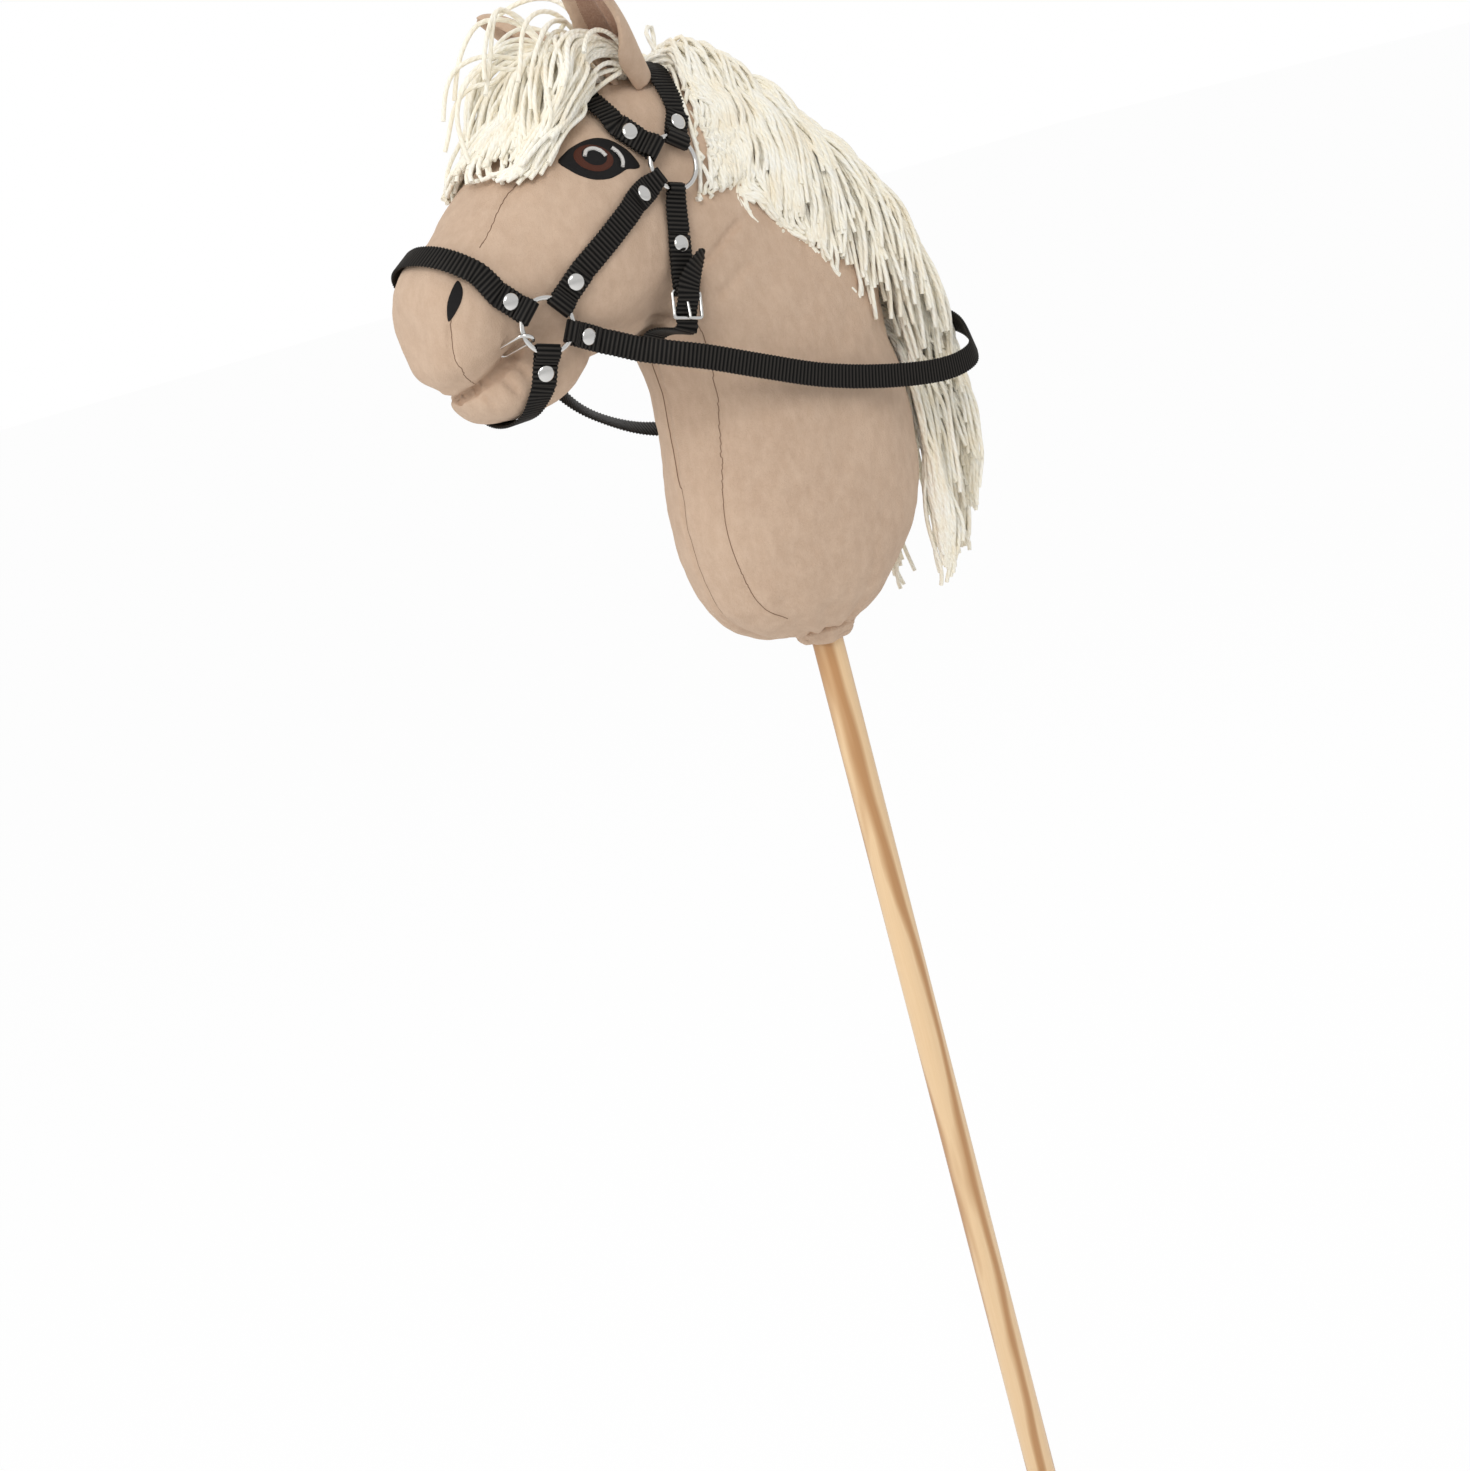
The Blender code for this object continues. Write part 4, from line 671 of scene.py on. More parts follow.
def line_distance(points, line):
    """Distance of each point from a broken line."""
    nearest = np.full(len(points), np.inf)
    for a, b in zip(line[:-1], line[1:]):
        ab = b - a
        share = np.clip(((points - a) @ ab) / max(ab @ ab, 1e-12), 0, 1)
        gap = np.linalg.norm(points - (a + share[:, None] * ab), axis=1)
        nearest = np.minimum(nearest, gap)
    return nearest


def smooth_line(places, side, step=1.5):
    """A smooth line through places given for the left side, on either side."""
    rows = [(*place(*mirrored(row, -side)),) for row in places]
    return even_steps(curve_through(rows, 8 * len(rows)), step * MM)


def tree_of(obj):
    bm = bmesh.new()
    bm.from_mesh(obj.data)
    return tree_from(bm)


def draw_in(obj, line, depth, width):
    """Press the cloth in along a line, depth and half width in millimetres."""
    tree = tree_of(obj)
    on_skin = np.array([tree.find_nearest(Vector(p))[0] for p in line])
    points = coordinates(obj.data)
    gap = line_distance(points, on_skin)
    ends = np.minimum(
        np.linalg.norm(points - on_skin[0], axis=1), np.linalg.norm(points - on_skin[-1], axis=1)
    )
    press = depth * MM * np.exp(-((gap / (width * MM)) ** 2)) * np.clip(ends / END_FADE + END_SHARE, 0, 1)
    set_coordinates(obj.data, points - vertex_normals(obj.data) * press[:, None])


for side in SIDES.values():
    for places in SEAMS.values():
        draw_in(horse_skin, smooth_line(places, side), SEAM_DEPTH, SEAM_WIDTH)
    for places, depth, width in CREASES.values():
        draw_in(horse_skin, smooth_line(places, side), depth, width)

# %% [markdown]
# Some places are stuffed fuller than the slices say: the muzzle low at the front, the
# head in front of each ear, and the upper lip above its crease. Each has a centre, how
# far it spreads and how far its middle moves.

# %% Fill the muzzle, the poll and the lip
FULL_MUZZLE = ((-212, 0, 226), (19, 36, 16.5), (-8.2, 0, -3.3))
FULL_POLL = ((-70, 24, 352), (12, 14, 16), (-1.5, 2.2, 5.0))
LIP_ABOVE_CREASE = 6
LIP_OUT = 2.4
LIP_WIDTH = 4.5


def fill_out(obj, at, spread, move):
    """Move the cloth near a place; places, spreads and the move in millimetres."""
    points = coordinates(obj.data)
    off = (points - np.array(place(*at))) / (np.array(spread) * MM)
    share = np.exp(-(off**2).sum(axis=1))
    set_coordinates(obj.data, points + share[:, None] * np.array(move) * MM)


fill_out(horse_skin, *FULL_MUZZLE)
for side in SIDES.values():
    at, spread, move = FULL_POLL
    fill_out(horse_skin, mirrored(at, side), spread, mirrored(move, side))
    lip_line = smooth_line([(x, y, z + LIP_ABOVE_CREASE) for x, y, z in CREASES["lip"][0]], side)
    draw_in(horse_skin, lip_line, -LIP_OUT, LIP_WIDTH)

# %% [markdown]
# Stuffing is never even. Slow random waves, the same on every run, move the cloth, mostly
# inwards and by less than two millimetres, and short gathers run up from the tied foot.

# %% Uneven stuffing and gathers
WAVES = ((0.050, 0.55), (0.024, 0.35), (0.011, 0.16))
WAVES_EACH = 5
WAVES_SUNK = 0.45
MOST_IN = 1.6
MOST_OUT = 0.25
GATHERS_HIGH = 0.055
random.seed(7)
points = coordinates(horse_skin.data)
waves = np.zeros(len(points))
for length, height in WAVES:
    for _ in range(WAVES_EACH):
        direction = Vector([random.gauss(0, 1) for _ in range(3)]).normalized()
        phase = points @ np.array(direction) * (2 * math.pi / length) + random.uniform(0, 6.3)
        waves += height / 2.2 * np.sin(phase)
low = np.clip(1 - (points[:, 2] - NECK_BOTTOM) / GATHERS_HIGH, 0, 1)
around = np.arctan2(points[:, 1], points[:, 0] + 0.004)
gathers = low * (1.1 * np.sin(11 * around + 0.6) + 0.7 * np.sin(17 * around + 2.0))
push = np.clip(waves - WAVES_SUNK, -MOST_IN, MOST_OUT) + gathers
set_coordinates(horse_skin.data, points + vertex_normals(horse_skin.data) * (push * MM)[:, None])
horse_skin.data.shade_smooth()
dress(horse_skin.data, velour)
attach(horse_skin, "horse")
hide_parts("neck", "head", "lower_jaw")
SURFACE = tree_of(horse_skin)
print("seams and creases:", 2 * len(SEAMS), "and", 2 * len(CREASES))

# %% [markdown]
# A fine thread lies along each panel seam.

# %% Sew the seams
THREAD_RADIUS = 0.00026
THREAD_ABOVE = 0.00002


def skin_point(x, z, side, above=0.0):
    """The outermost cloth at a place seen from the side, raised by some metres."""
    inner = place(x, 0, z)
    outward = Vector((0, side, 0))
    hit, normal, _, _ = SURFACE.ray_cast(inner + outward * 0.2, -outward, 0.4)
    return hit + normal * above


def wire(name, lines, radius, finish, sides=6, closed=False):
    """Thin tubes along lines of points, as one mesh that rides on the horse."""
    curve = bpy.data.curves.new(name, "CURVE")
    curve.dimensions = "3D"
    curve.bevel_depth = radius
    curve.bevel_resolution = sides // 2 - 2
    curve.use_fill_caps = True
    for line in lines:
        spline = curve.splines.new("POLY")
        spline.points.add(len(line) - 1)
        for point, place_on in zip(spline.points, line):
            point.co = (*place_on, 1.0)
        spline.use_cyclic_u = closed
    made = add_object(name, curve)
    mesh = evaluated_mesh(made)
    bpy.data.objects.remove(made)
    bpy.data.curves.remove(curve)
    mesh.name = name
    dress(mesh, finish)
    mesh.shade_smooth()
    obj = add_object(name, mesh)
    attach(obj, "horse")
    return obj


stitch_lines = []
for side in SIDES.values():
    for name, places in SEAMS.items():
        if name == "throat_seam" and side > 0:
            continue
        sewn = []
        for point in smooth_line(places, side, 1.0):
            hit, normal, _, _ = SURFACE.find_nearest(Vector(point))
            sewn.append(hit + normal * THREAD_ABOVE)
        stitch_lines.append(sewn)
seams = wire("sewn_seams", stitch_lines, THREAD_RADIUS, seam_thread)
print("sewn seams:", len(stitch_lines))

# %% [markdown]
# ## Ears
# Each ear is a curled leaf of doubled, lightly padded cloth with a rolled rim and a fold
# inside. It is lofted as a cup, melted to an even mesh and swelled a little.

# %% Make the ears
# Painted shade: a darker velour for the faces inside each ear's cup, where shade falls.
ear_cup_shade = Finish("velour_painted_shade", Roughness=0.9, Sheen_Weight=0.2, Specular_IOR_Level=0.15)
ear_cup_shade_nap = ear_cup_shade.noise(ear_cup_shade.where("Object"), 900.0, 3.0, 0.6)
ear_cup_shade.set("Base Color", ear_cup_shade.ramp(ear_cup_shade_nap, (0.35, (0.36, 0.215, 0.15)), (0.7, (0.46, 0.30, 0.215))))
ear_cup_shade.bump(ear_cup_shade_nap, 0.0006, 0.5)

EAR_ROOT = (-61.0, 29.0, 366.0)
EAR_TIP = (-92.0, 54.0, 411.0)
EAR_FACES = (-0.88, 0.46, 0.1)
EAR_STATIONS = [
    (-0.36, 12.5, 10), (-0.14, 13.6, 11), (0.0, 14.2, 12), (0.14, 15.0, 12.8), (0.36, 15.8, 13.5),
    (0.62, 15.5, 12.5), (0.82, 13.5, 10), (0.94, 9.5, 6.5), (1.0, 4.5, 3.0),
]
EAR_WALL = 0.0046
EAR_THINNEST = 0.3
EAR_BULGE = 0.004
EAR_WRAP = 92
EAR_CURL = 64
EAR_CURL_ENDS = 0.55
EAR_RIM_TURN = 7
EAR_FOLD = 0.55
EAR_FOLD_AT = 0.4
EAR_FOLD_WIDTH = 0.22
EAR_VOXEL = 0.0016
EAR_SWELL = 0.0008
EAR_HELD = 0.004
CUP_SHADE_DEPTH = 0.0018


def ease(value):
    value = min(max(value, 0.0), 1.0)
    return value * value * (3 - 2 * value)


def ear(side_name, side):
    """A cup of cloth, with painted shade, a darker velour, on the faces inside the cup that look out of it."""
    root = place(*mirrored(EAR_ROOT, side))
    tip = place(*mirrored(EAR_TIP, side))
    up = (tip - root).normalized()
    face = square_to(Vector(mirrored(EAR_FACES, side)), up)
    across = up.cross(face)
    rings = []
    for share, width, depth in curve_through(EAR_STATIONS, 25):
        width *= MM
        depth *= MM
        wrap = EAR_CURL * (1 - ease(share / EAR_CURL_ENDS)) + EAR_WRAP
        centre = root + (tip - root) * share + face * (EAR_BULGE * share)
        inner_width = max(width - EAR_WALL, width * EAR_THINNEST)
        inner_depth = max(depth - EAR_WALL, depth * EAR_THINNEST)
        fade = math.sin(math.pi * min(max(share, 0), 1) ** 0.6)
        ring = []
        for k in range(-12, 13):
            turn = math.radians(wrap * k / 12)
            ring.append(centre + across * (width * math.sin(turn)) - face * (depth * math.cos(turn)))
        for k in range(12, -13, -1):
            turn = math.radians((wrap - EAR_RIM_TURN) * k / 12)
            fold = 1 - EAR_FOLD * math.exp(-(((turn - EAR_FOLD_AT) / EAR_FOLD_WIDTH) ** 2)) * fade
            inner = across * (inner_width * math.sin(turn)) - face * (inner_depth * math.cos(turn))
            ring.append(centre + inner * fold)
        rings.append(ring)
    obj = melted(loft(rings), "ear_cloth_" + side_name, EAR_VOXEL)
    swell(obj, EAR_SWELL, lambda points: points[:, 2] < root.z + EAR_HELD, 1.0)
    subdivide(obj)
    obj.data.shade_smooth()
    dress(obj.data, velour, ear_cup_shade)
    # Faces deep in the cup that look out of it get the painted shade.
    for polygon in obj.data.polygons:
        off = polygon.center - root
        inside = (off - up * off.dot(up)).dot(face) < -CUP_SHADE_DEPTH
        polygon.material_index = int(inside and polygon.normal.dot(face) > 0.3)
    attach(obj, "horse")
    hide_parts("ear_" + side_name)
    print("ear", side_name, len(obj.data.polygons), "faces")
    return obj


ears = [ear(side_name, side) for side_name, side in SIDES.items()]

# %% [markdown]
# ## Stitched eyes and nostrils
# The face is embroidered. Each patch of satin stitch is a low dome: rings of points drawn
# on a side view are dropped on the cloth, the outer ring just under it and the rest above.


# %% Drop patches on the cloth
PATCH_EDGE = -0.0004
PATCH_RINGS = ((0.985, 0.45), (0.93, 0.8), (0.84, 0.95), (0.65, 1.0), (0.4, 1.0), (0.15, 1.0))


def closed_outline(rows):
    """A smooth closed outline through a few corners."""
    return curve_through([*rows[-2:], *rows, *rows[:3]], 49, trim=2)[:-1]


def patch(name, outline, side, rise, finish):
    """A dome of stitches over an outline of (x, z) places in millimetres."""
    outline = np.array(outline, dtype=float)
    middle = outline.mean(axis=0)
    heights = [(1.0, PATCH_EDGE), *((share, rise * lift) for share, lift in PATCH_RINGS)]
    rings = []
    for share, above in heights:
        rings.append([skin_point(*(middle + (p - middle) * share), side, above) for p in outline])
    return add_piece(name, loft(rings), finish, sharp_degrees=80)


def ellipse(middle, right, top):
    turns = np.linspace(0, 2 * math.pi, 40, endpoint=False)
    middle, right, top = (np.array(v, dtype=float) for v in (middle, right, top))
    return [middle + right * math.cos(t) + top * math.sin(t) for t in turns]


EYE_OUTLINE = [
    (-126, 317.5), (-121, 321), (-115, 323.5), (-106, 325.3), (-97, 325), (-89, 322), (-83, 317),
    (-79, 310.5), (-77.5, 304.5), (-82, 303.5), (-89, 304.5), (-96, 303), (-104, 302), (-112, 303.5),
    (-118, 306.5), (-122.5, 311),
]
IRIS = ((-106.3, 314.6), (11.6, -2.5), (1.7, 7.8))
PUPIL = ((-105.8, 315.4), (7.6, -1.7), (1.3, 5.6))
SHINES = (
    [(-111.8, 316.4), (-109.2, 319.0), (-105, 319.4), (-101.2, 317.2), (-99.5, 313.8)],
    [(-92.8, 317.2), (-90.4, 313.6), (-90.6, 309.2), (-92.6, 306.2)],
)
NOSTRIL_OUTLINE = [
    (-200.5, 271.5), (-200.4, 267), (-202.6, 262), (-206.4, 257), (-211.5, 252), (-211, 258), (-208.6, 263.5),
    (-204.2, 269),
]
LID_RISE = 0.0007
NOSTRIL_RISE = 0.0008
IRIS_RISE = 0.0011
PUPIL_RISE = 0.0014
SHINE_RISE = 0.0016
SHINE_RADIUS = 0.0011

for side_name, side in SIDES.items():
    lid = patch("eye_outline_" + side_name, closed_outline(EYE_OUTLINE), side, LID_RISE, black_thread)
    iris = patch("eye_iris_" + side_name, ellipse(*IRIS), side, IRIS_RISE, brown_thread)
    pupil = patch("eye_pupil_" + side_name, ellipse(*PUPIL), side, PUPIL_RISE, black_thread)
    arcs = []
    for places in SHINES:
        rows = even_steps(curve_through([(x, 0, z) for x, z in places], 24), 0.8)
        arcs.append([skin_point(row[0], row[2], side, SHINE_RISE) for row in rows])
    shine = wire("eye_shine_" + side_name, arcs, SHINE_RADIUS, white_thread, 8)
    rim = closed_outline(NOSTRIL_OUTLINE)
    nostril = patch("nostril_stitch_" + side_name, rim, side, NOSTRIL_RISE, black_thread)
    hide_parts("eye_" + side_name)
    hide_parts("nostril_" + side_name)
print("eyes and nostrils: 2 of each")

# %% [markdown]
# ## Foot of the neck
# The cloth is gathered round the stick. Its edge is a narrow casing that hides the tie,
# so one spun collar with waves in its radius stands for both.

# %% Gather the hem
STICK_RADIUS = 0.010


def spun(profile, steps, origin=ORIGIN, axis=UP):
    """A turned solid: a profile of radius and height, spun about an axis."""
    bm = bmesh.new()
    vertices = [bm.verts.new((r, 0, z)) for r, z in profile]
    edges = [bm.edges.new(pair) for pair in zip(vertices, vertices[1:])]
    bmesh.ops.spin(bm, geom=vertices + edges, cent=(0, 0, 0), axis=(0, 0, 1), angle=2 * math.pi, steps=steps,
                   use_merge=True)
    bmesh.ops.remove_doubles(bm, verts=bm.verts, dist=1e-7)
    turn = UP.rotation_difference(axis).to_matrix().to_4x4()
    bmesh.ops.transform(bm, matrix=Matrix.Translation(origin) @ turn, verts=bm.verts)
    return bm


HEM_PROFILE = [
    (10.4, -2.6), (12.0, -3.9), (14.2, -4.0), (16.0, -2.7), (17.2, -0.6), (18.6, 1.8), (20.5, 4.6), (19.0, 8.0),
    (14.0, 10.0), (10.4, 9.0), (10.3, 4.0), (10.4, -2.6),
]
HEM_WAVE = 0.06
HEM_LIFT = 0.0012
hem_rows = curve_through(HEM_PROFILE, 70)
bm = spun([(r * MM, NECK_BOTTOM + z * MM) for r, z in hem_rows], 120)
for vertex in bm.verts:
    around = math.atan2(vertex.co.y, vertex.co.x)
    out = math.hypot(vertex.co.x, vertex.co.y)
    height = vertex.co.z - NECK_BOTTOM
    free = min(max((out - 0.0112) / 0.006, 0), 1)
    fold = math.sin(9 * around + 0.7 * math.sin(2 * around)) + 0.45 * math.sin(16 * around + 1.2)
    stretch = 1 + HEM_WAVE * free * fold
    vertex.co.x *= stretch
    vertex.co.y *= stretch
    if height < 0:
        vertex.co.z += free * HEM_LIFT * math.sin(4 * around + 0.8)
hem = add_piece("gathered_hem", bm, velour, sharp_degrees=180)
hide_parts("neck_hem", "hem_tie")
print("hem width:", round(max(hem.dimensions[:2]) * 1000, 1), "mm")

# %% [markdown]
# ## Stick
# A planed pine dowel with an eased foot, turned as one profile.

# %% Turn the stick
STICK_TOP = NECK_BOTTOM + 0.280
EASED = 0.0015
arc = [(EASED * math.sin(t), EASED - EASED * math.cos(t)) for t in np.linspace(0, math.pi / 2, 6)]
foot_arc = [(STICK_RADIUS - EASED + r, z) for r, z in arc]
head_arc = [(r, STICK_TOP - z) for r, z in foot_arc[::-1]]
bm = spun([(0, 0), *foot_arc, *head_arc, (0, STICK_TOP)], 64)
stick = add_piece("pine_stick", bm, pine)
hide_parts("stick")
print("stick:", [round(v * 1000, 1) for v in stick.dimensions], "mm")

# %% [markdown]
# ## Rings
# Each ring is a round bar bent to a circle and welded, so a circle of points is spun.

# %% Make the rings
RING_BORE = 0.027
RING_WIRE = 0.003
RING_RADIUS = (RING_BORE + RING_WIRE) / 2
RING_FACES = {"mouth": (-0.16, 1.0, 0.0), "temple": (0.0, 1.0, 0.12)}


class Ring:
    """A bridle ring lying on the side of the head."""

    def __init__(self, node, faces, side):
        low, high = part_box(node)
        self.centre = (low + high) / 2
        self.normal = Vector(mirrored(faces, side)).normalized()

    def direction(self, degrees):
        """A direction in the ring's plane; 0 is towards the back, 90 is up."""
        turn = math.radians(degrees)
        return square_to(Vector((math.cos(turn), 0, math.sin(turn))), self.normal)


turns = [2 * math.pi * k / 16 for k in range(17)]
section = [(RING_RADIUS + RING_WIRE / 2 * math.cos(turn), RING_WIRE / 2 * math.sin(turn)) for turn in turns]
RINGS = {}
for side_name, side in SIDES.items():
    for kind, faces in RING_FACES.items():
        ring = Ring(f"ring_{kind}_{side_name}", faces, side)
        RINGS[kind, side_name] = ring
        bm = spun(section, 72, ring.centre, ring.normal)
        name = f"bridle_ring_{kind}_{side_name}"
        obj = add_piece(name, bm, plate, f"{kind}_ring_{side_name}", sharp_degrees=180)
        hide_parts(f"ring_{kind}_{side_name}")
print("rings:", len(RINGS), "of", round(RING_BORE * 1000), "mm bore")

# %% [markdown]
# ## How a strap lies
# A strap leaves its ring through a fold that is riveted on itself, then crosses the cloth.
# Its stations hold a place, the direction it faces and a width; the same sizes as the
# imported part's keep every rivet and fold where the joints expect them.

# %% Sizes of the webbing
GAP = 0.0003
WEBBING_WIDTH = 0.0144
WEBBING_THICKNESS = 0.0012
FOLD_SPREAD = 0.008
TAIL_PAST_RIVET = 0.0068
STRAP_STEP = 0.008
BELT_OFF_END = 0.008
MOST_LEAN_DEGREES = 12.0
RIVET_CAP_DIAMETER = 0.0096
RIVET_BACK_HEIGHT = 0.0008
RING_PLAY = 0.0005
RING_AT = {"mouth": (-162.0, 236.0), "temple": (-58.5, 300.5)}
THROAT_BOTTOM = (-88.0, 200.0)
LAYER = WEBBING_THICKNESS + GAP
STRAP_ABOVE_SKIN = RIVET_BACK_HEIGHT + 2 * GAP + 0.0005
SKIN_SEARCH = 0.040
SKIN_BLEND = 0.008

# By the rivet's name: the ring, the angle at which the strap leaves it, the rivet's
# distance from the fold, and the webbing's width in the fold.
FOLDS = {
    "noseband": ("mouth", 134.0, 0.011, WEBBING_WIDTH),
    "chin": ("mouth", -107.0, 0.013, WEBBING_WIDTH),
    "rein": ("mouth", -28.0, 0.0125, 0.012),
    "cheek_lower": ("mouth", 39.0, 0.0155, WEBBING_WIDTH),
    "cheek_upper": ("temple", 204.0, 0.017, 0.010),
    "browband": ("temple", 130.0, 0.017, WEBBING_WIDTH),
    "crown": ("temple", 57.0, 0.013, WEBBING_WIDTH),
    "throat": ("temple", 255.0, 0.013, 0.010),
    "throat_loop": ("temple", 255.0, 0.031, 0.010),
}


# %% [markdown]
# The straps were fitted on the plain form under the stuffing, so that form is built again.

# %% The surface that the straps were fitted on
class Form:
    """The plain form under the cloth, which the bridle is laid on."""

    def __init__(self):
        self.trees = []
        for rings in (neck_rings(), axis_rings(HEAD_STATIONS, 26, 21), axis_rings(JAW_STATIONS, 20, 11)):
            bm = split_alike(loft(rings))
            bmesh.ops.recalc_face_normals(bm, faces=bm.faces)
            self.trees.append(tree_from(bm))

    def from_outside(self, inner, direction):
        """The outermost surface point seen from an inner point along a direction."""
        reach = 0.4
        hits = [tree.ray_cast(inner + direction * reach, -direction, reach) for tree in self.trees]
        found = [hit for hit in hits if hit[0]]
        return min(found, key=lambda hit: hit[3])[0] if found else None

    def clearance(self, point):
        """Height of a point above the surface, and the surface's direction there."""
        heights = []
        for tree in self.trees:
            hit, normal, _, distance = tree.find_nearest(point)
            heights.append((math.copysign(distance, (point - hit).dot(normal)), normal))
        lowest = min(height for height, _ in heights)
        shares = [(math.exp((lowest - height) / SKIN_BLEND), normal) for height, normal in heights]
        return lowest, sum((normal * share for share, normal in shares), Vector()).normalized()


FORM = Form()

# %% [markdown]
# A strap is a row of stations. It can be read at any distance along, cut and turned round.


# %% A strap as stations
def arc_lengths(points):
    lengths = [0.0]
    for a, b in zip(points, points[1:]):
        lengths.append(lengths[-1] + (b - a).length)
    return lengths


class Strap:
    """A webbing strap: stations of position, outward direction and width."""

    def __init__(self, positions, normals, widths=None):
        self.positions = positions
        self.normals = normals
        self.widths = widths or [WEBBING_WIDTH] * len(positions)

    def tangent(self, i):
        return tangent_at(self.positions, i)

    def at(self, mark):
        """Position and outward direction at a distance along."""
        lengths = arc_lengths(self.positions)
        i = max(k for k, length in enumerate(lengths) if length <= mark)
        i = min(i, len(lengths) - 2)
        share = (mark - lengths[i]) / (lengths[i + 1] - lengths[i])
        point = self.positions[i].lerp(self.positions[i + 1], share)
        return point, self.normals[i].lerp(self.normals[i + 1], share).normalized()

    def part(self, start, end):
        """The stretch between two distances along the strap."""
        lengths = arc_lengths(self.positions)
        inside = [i for i, length in enumerate(lengths) if start + 0.001 < length < end - 0.001]
        first = self.at(start)
        last = self.at(end)
        positions = [first[0], *(self.positions[i] for i in inside), last[0]]
        normals = [first[1], *(self.normals[i] for i in inside), last[1]]
        widths = [WEBBING_WIDTH, *(self.widths[i] for i in inside), WEBBING_WIDTH]
        if start == 0:
            widths[0] = self.widths[0]
        if end == lengths[-1]:
            widths[-1] = self.widths[-1]
        return Strap(positions, normals, widths)


def reverse(strap):
    return Strap(strap.positions[::-1], strap.normals[::-1], strap.widths[::-1])


# %% [markdown]
# A strap is laid by lifting its stations until its whole width is clear of the form.


# %% Lay a strap on the form
def smooth_vectors(vectors):
    for _ in range(3):
        padded = [vectors[0], *vectors, vectors[-1]]
        vectors = [(a + b * 2 + c).normalized() for a, b, c in zip(padded, padded[1:], padded[2:])]
    return vectors


def raised(point, across, normal):
    """A station lifted until the strap's middle and edges are clear of the form."""
    for _ in range(4):
        lowest = min(FORM.clearance(point + across * (WEBBING_WIDTH / 2 * k))[0] for k in (-1, 0, 1))
        point = point + normal * max(STRAP_ABOVE_SKIN + WEBBING_THICKNESS / 2 - lowest, 0.0)
    return point


def lay_on_form(points):
    """The points moved clear of the form, and outward directions for them."""
    normals = smooth_vectors([FORM.clearance(p)[1] for p in points])
    laid = []
    for i, point in enumerate(points):
        tangent = tangent_at(points, i)
        normals[i] = square_to(normals[i], tangent)
        laid.append(raised(point, tangent.cross(normals[i]), normals[i]))
    return laid, normals


# %% [markdown]
# A strap's end goes round its ring from behind, comes back over itself and is riveted.

# %% Fold a strap's end round a bar
class FoldEnd:
    """A strap's end: folded round a round bar from behind and riveted on itself."""

    BLEND = 0.016

    def __init__(self, centre, out, normal, tunnel, rivet_from, shoulder, width=WEBBING_WIDTH):
        self.fold = centre
        self.out = out
        self.normal = normal
        self.radius = tunnel + WEBBING_THICKNESS / 2
        self.rivet_from = rivet_from
        self.tail = rivet_from + TAIL_PAST_RIVET
        self.flat = self.tail + GAP
        self.shoulder = shoulder
        self.width = width
        self.spread = min(FOLD_SPREAD, rivet_from - RIVET_CAP_DIAMETER / 2 - GAP)

    def lean_on_form(self):
        """Turn the strap's flat start about the bar until it comes down on the form."""
        lean = math.radians(MOST_LEAN_DEGREES)
        across = self.out.cross(self.normal)
        under = self.fold - self.normal * self.radius
        for share in (0.2, 0.4, 0.6, 0.8, 1.0):
            for edge in (-0.5, 0.0, 0.5):
                reach = self.flat * share
                point = under + self.out * reach + across * (WEBBING_WIDTH * edge)
                hit = FORM.from_outside(point - self.normal * SKIN_SEARCH, self.normal)
                if hit:
                    height = (point - hit).dot(self.normal) - WEBBING_THICKNESS / 2 - STRAP_ABOVE_SKIN
                    lean = min(lean, math.atan2(height, reach))
        out = self.out * math.cos(lean) - self.normal * math.sin(lean)
        self.normal = self.normal * math.cos(lean) + self.out * math.sin(lean)
        self.out = out

    def width_at(self, mark):
        """The strap's width, drawn in where it is pinched in the fold."""
        return self.width + (WEBBING_WIDTH - self.width) * ease((mark - self.shoulder) / FOLD_SPREAD)

    def lead(self):
        """Guide points that the strap leaves the fold through."""
        under = self.fold - self.normal * self.radius
        return [under + self.out * (self.flat * share) for share in (0.0, 0.5, 1.0)]

    def settle(self, strap):
        """Bend the strap's first stations up to the plane under the bar."""
        for i, length in enumerate(arc_lengths(strap.positions)):
            share = 1 - ease((length - self.flat) / self.BLEND)
            if share <= 0:
                break
            below = (self.fold - strap.positions[i]).dot(self.normal) - self.radius
            strap.positions[i] = strap.positions[i] + self.normal * (below * share)
            strap.normals[i] = strap.normals[i].lerp(self.normal, share).normalized()
            strap.widths[i] = self.width_at(length)

    def turn(self, strap):
        """Stations of the tail and the fold, from the tail's end to the fold's start."""
        positions = []
        normals = []
        widths = []
        stations = arc_lengths(strap.positions)
        inside = [m for m in stations if self.spread + GAP < m < self.tail - GAP]
        for mark in (self.tail, *inside[::-1], self.spread, self.shoulder):
            point, normal = strap.at(mark)
            spread = max(0.0, (self.spread - mark) / (self.spread - self.shoulder))
            lift = LAYER + (2 * self.radius - LAYER) * spread
            positions.append(point + normal * lift)
            normals.append(-normal)
            widths.append(self.width_at(mark))
        for degrees in (90, 54, 18, -18, -54):
            turn = math.radians(degrees)
            arm = self.normal * math.sin(turn) - self.out * math.cos(turn)
            positions.append(self.fold + arm * self.radius)
            normals.append(-arm)
            widths.append(self.width)
        return positions, normals, widths


